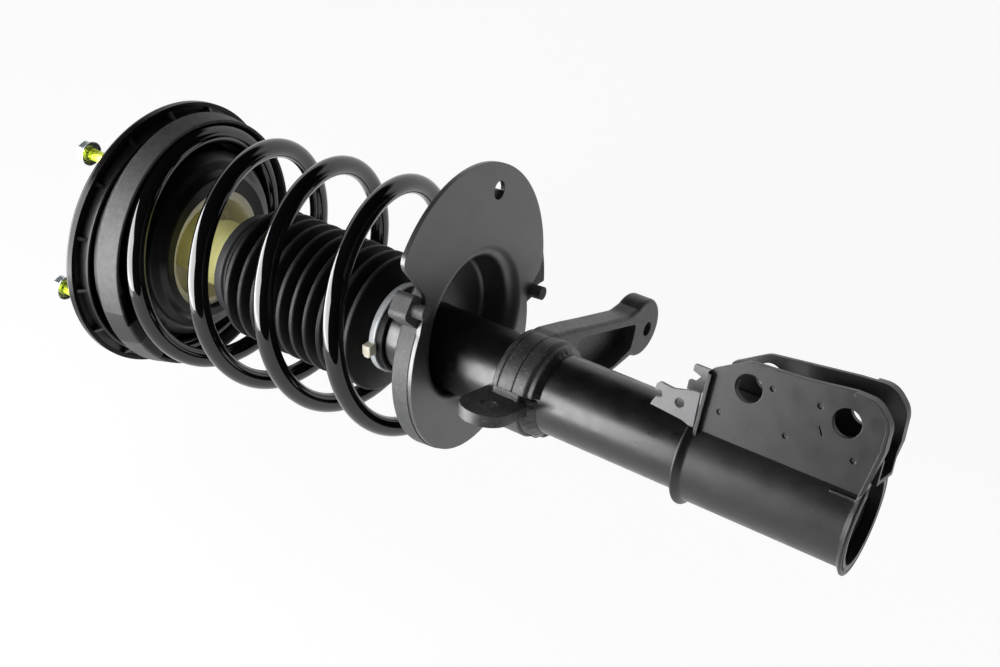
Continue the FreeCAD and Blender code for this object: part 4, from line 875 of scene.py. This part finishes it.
VIEW_RIGHT, VIEW_UP, VIEW_BACK = camera()
CENTRE = (cad_low + cad_high) / 2
pitch = math.radians(CAMERA_PITCH)
FLOOR_UP = (VIEW_UP * math.cos(pitch) + VIEW_BACK * math.sin(pitch)).normalized()
FLOOR_BACK = FLOOR_UP.cross(VIEW_RIGHT).normalized()


# Stage

def swing():
    """How far the parts reach from the strut's axis when they turn about it."""
    reach = 0.0
    for node in nodes.values():
        for vertex in node.data.vertices:
            reach = max(reach, math.hypot(vertex.co.x, vertex.co.y))
    return reach


class Light:
    """A node tree of sums and shaders, for the floor and the world."""

    def __init__(self, tree):
        self.tree = tree
        tree.nodes.clear()

    def add(self, kind, *sources, **values):
        node = self.tree.nodes.new(kind)
        for key, value in values.items():
            setattr(node, key, value)
        for socket, source in zip(node.inputs, sources):
            if isinstance(source, (int, float)):
                socket.default_value = source
            elif source is not None:
                self.tree.links.new(source, socket)
        return node

    def sum(self, operation, *sources):
        return self.add("ShaderNodeMath", *sources, operation=operation).outputs[0]

    def step(self, source, start, end):
        """One below start, none above end."""
        node = self.add("ShaderNodeMapRange", source, start, end, 1.0, 0.0, interpolation_type="SMOOTHSTEP")
        return node.outputs["Result"]


def floor_look():
    """White matt sheet that is clear from behind, so that it hides nothing in other views."""
    material = bpy.data.materials.new("floor_white")
    material.use_nodes = True
    light = Light(material.node_tree)
    path = light.add("ShaderNodeLightPath").outputs
    camera_ray = path["Is Camera Ray"]
    mirrored = light.sum("MAXIMUM", path["Is Glossy Ray"], path["Is Transmission Ray"])
    shown = light.sum("MULTIPLY_ADD", camera_ray, FLOOR_SHOWN - FLOOR_COLOUR, FLOOR_COLOUR)
    matt = light.add("ShaderNodeBsdfDiffuse", shown)
    lift = light.sum("MULTIPLY_ADD", mirrored, FLOOR_MIRRORED, light.sum("MULTIPLY", camera_ray, FLOOR_LIFT))
    glow = light.add("ShaderNodeEmission", None, lift)
    both = light.add("ShaderNodeAddShader", matt.outputs[0], glow.outputs[0])
    clear = light.add("ShaderNodeBsdfTransparent")
    behind = light.add("ShaderNodeNewGeometry").outputs["Backfacing"]
    choice = light.add("ShaderNodeMixShader", behind, both.outputs[0], clear.outputs[0])
    light.add("ShaderNodeOutputMaterial", choice.outputs[0])
    return material


def floor():
    foot = Vector((0, 0, CENTRE.z)) - FLOOR_UP * (swing() + FLOOR_GAP)
    left, right, front, deep = -FLOOR_LEFT, FLOOR_RIGHT, -FLOOR_FRONT, FLOOR_DEEP
    reach = ((left, front), (right, front), (right, deep), (left, deep))
    corners = [foot + VIEW_RIGHT * x + FLOOR_BACK * y for x, y in reach]
    mesh = bpy.data.meshes.new("floor")
    mesh.from_pydata([tuple(c) for c in corners], [], [(0, 1, 2, 3)])
    made = bpy.data.objects.new("floor", mesh)
    mesh.materials.append(floor_look())
    if mesh.polygons[0].normal.dot(FLOOR_UP) < 0:
        mesh.flip_normals()
    bpy.context.scene.collection.objects.link(made)


def lamp(name, side, rise, distance, size, radiance, mirrored):
    """Rectangular lamp that faces the object. It shows in gloss alone, or lights matt surfaces alone."""
    a, b = math.radians(side), math.radians(rise)
    back = (-FLOOR_BACK * math.cos(a) - VIEW_RIGHT * math.sin(a)) * math.cos(b) + FLOOR_UP * math.sin(b)
    data = bpy.data.lights.new(name, "AREA")
    data.shape = "RECTANGLE"
    data.size, data.size_y = size
    data.energy = radiance * math.pi * size[0] * size[1]
    made = bpy.data.objects.new(name, data)
    made.location = LAMP_AIM + back * distance
    across = FLOOR_UP.cross(back).normalized()
    made.rotation_mode = "QUATERNION"
    made.rotation_quaternion = Matrix((across, back.cross(across), back)).transposed().to_quaternion()
    made.visible_diffuse = not mirrored
    made.visible_glossy = mirrored
    bpy.context.scene.collection.objects.link(made)


def world():
    """White for the camera, plain for matt surfaces; gloss shows a dark room with a white backdrop."""
    made = bpy.data.worlds.new("studio")
    bpy.context.scene.world = made
    made.use_nodes = True
    light = Light(made.node_tree)
    path = light.add("ShaderNodeLightPath").outputs
    place = light.add("ShaderNodeTexCoord").outputs["Generated"]

    def along(direction):
        node = light.add("ShaderNodeVectorMath", place, operation="DOT_PRODUCT")
        node.inputs[1].default_value = direction
        return node.outputs["Value"]

    behind = light.step(along(-FLOOR_BACK), *BACKDROP_NEAR)
    below = light.step(along(FLOOR_UP), *BACKDROP_TOP)
    shade = light.sum("MULTIPLY_ADD", light.sum("MULTIPLY", behind, below), BACKDROP - ROOM, ROOM)
    mirrored = light.sum("MAXIMUM", path["Is Glossy Ray"], path["Is Transmission Ray"])
    matt = light.sum("MULTIPLY_ADD", light.sum("SUBTRACT", shade, AMBIENT), mirrored, AMBIENT)
    other = light.sum("SUBTRACT", 1.0, path["Is Camera Ray"])
    strength = light.sum("MULTIPLY_ADD", light.sum("SUBTRACT", matt, 1.0), other, 1.0)
    background = light.add("ShaderNodeBackground", None, strength)
    background.inputs["Color"].default_value = (1, 1, 1, 1)
    light.add("ShaderNodeOutputWorld", background.outputs[0])


floor()
for title, values in LAMPS.items():
    lamp(title, **values)
world()
bpy.context.scene.view_settings.view_transform = "Standard"
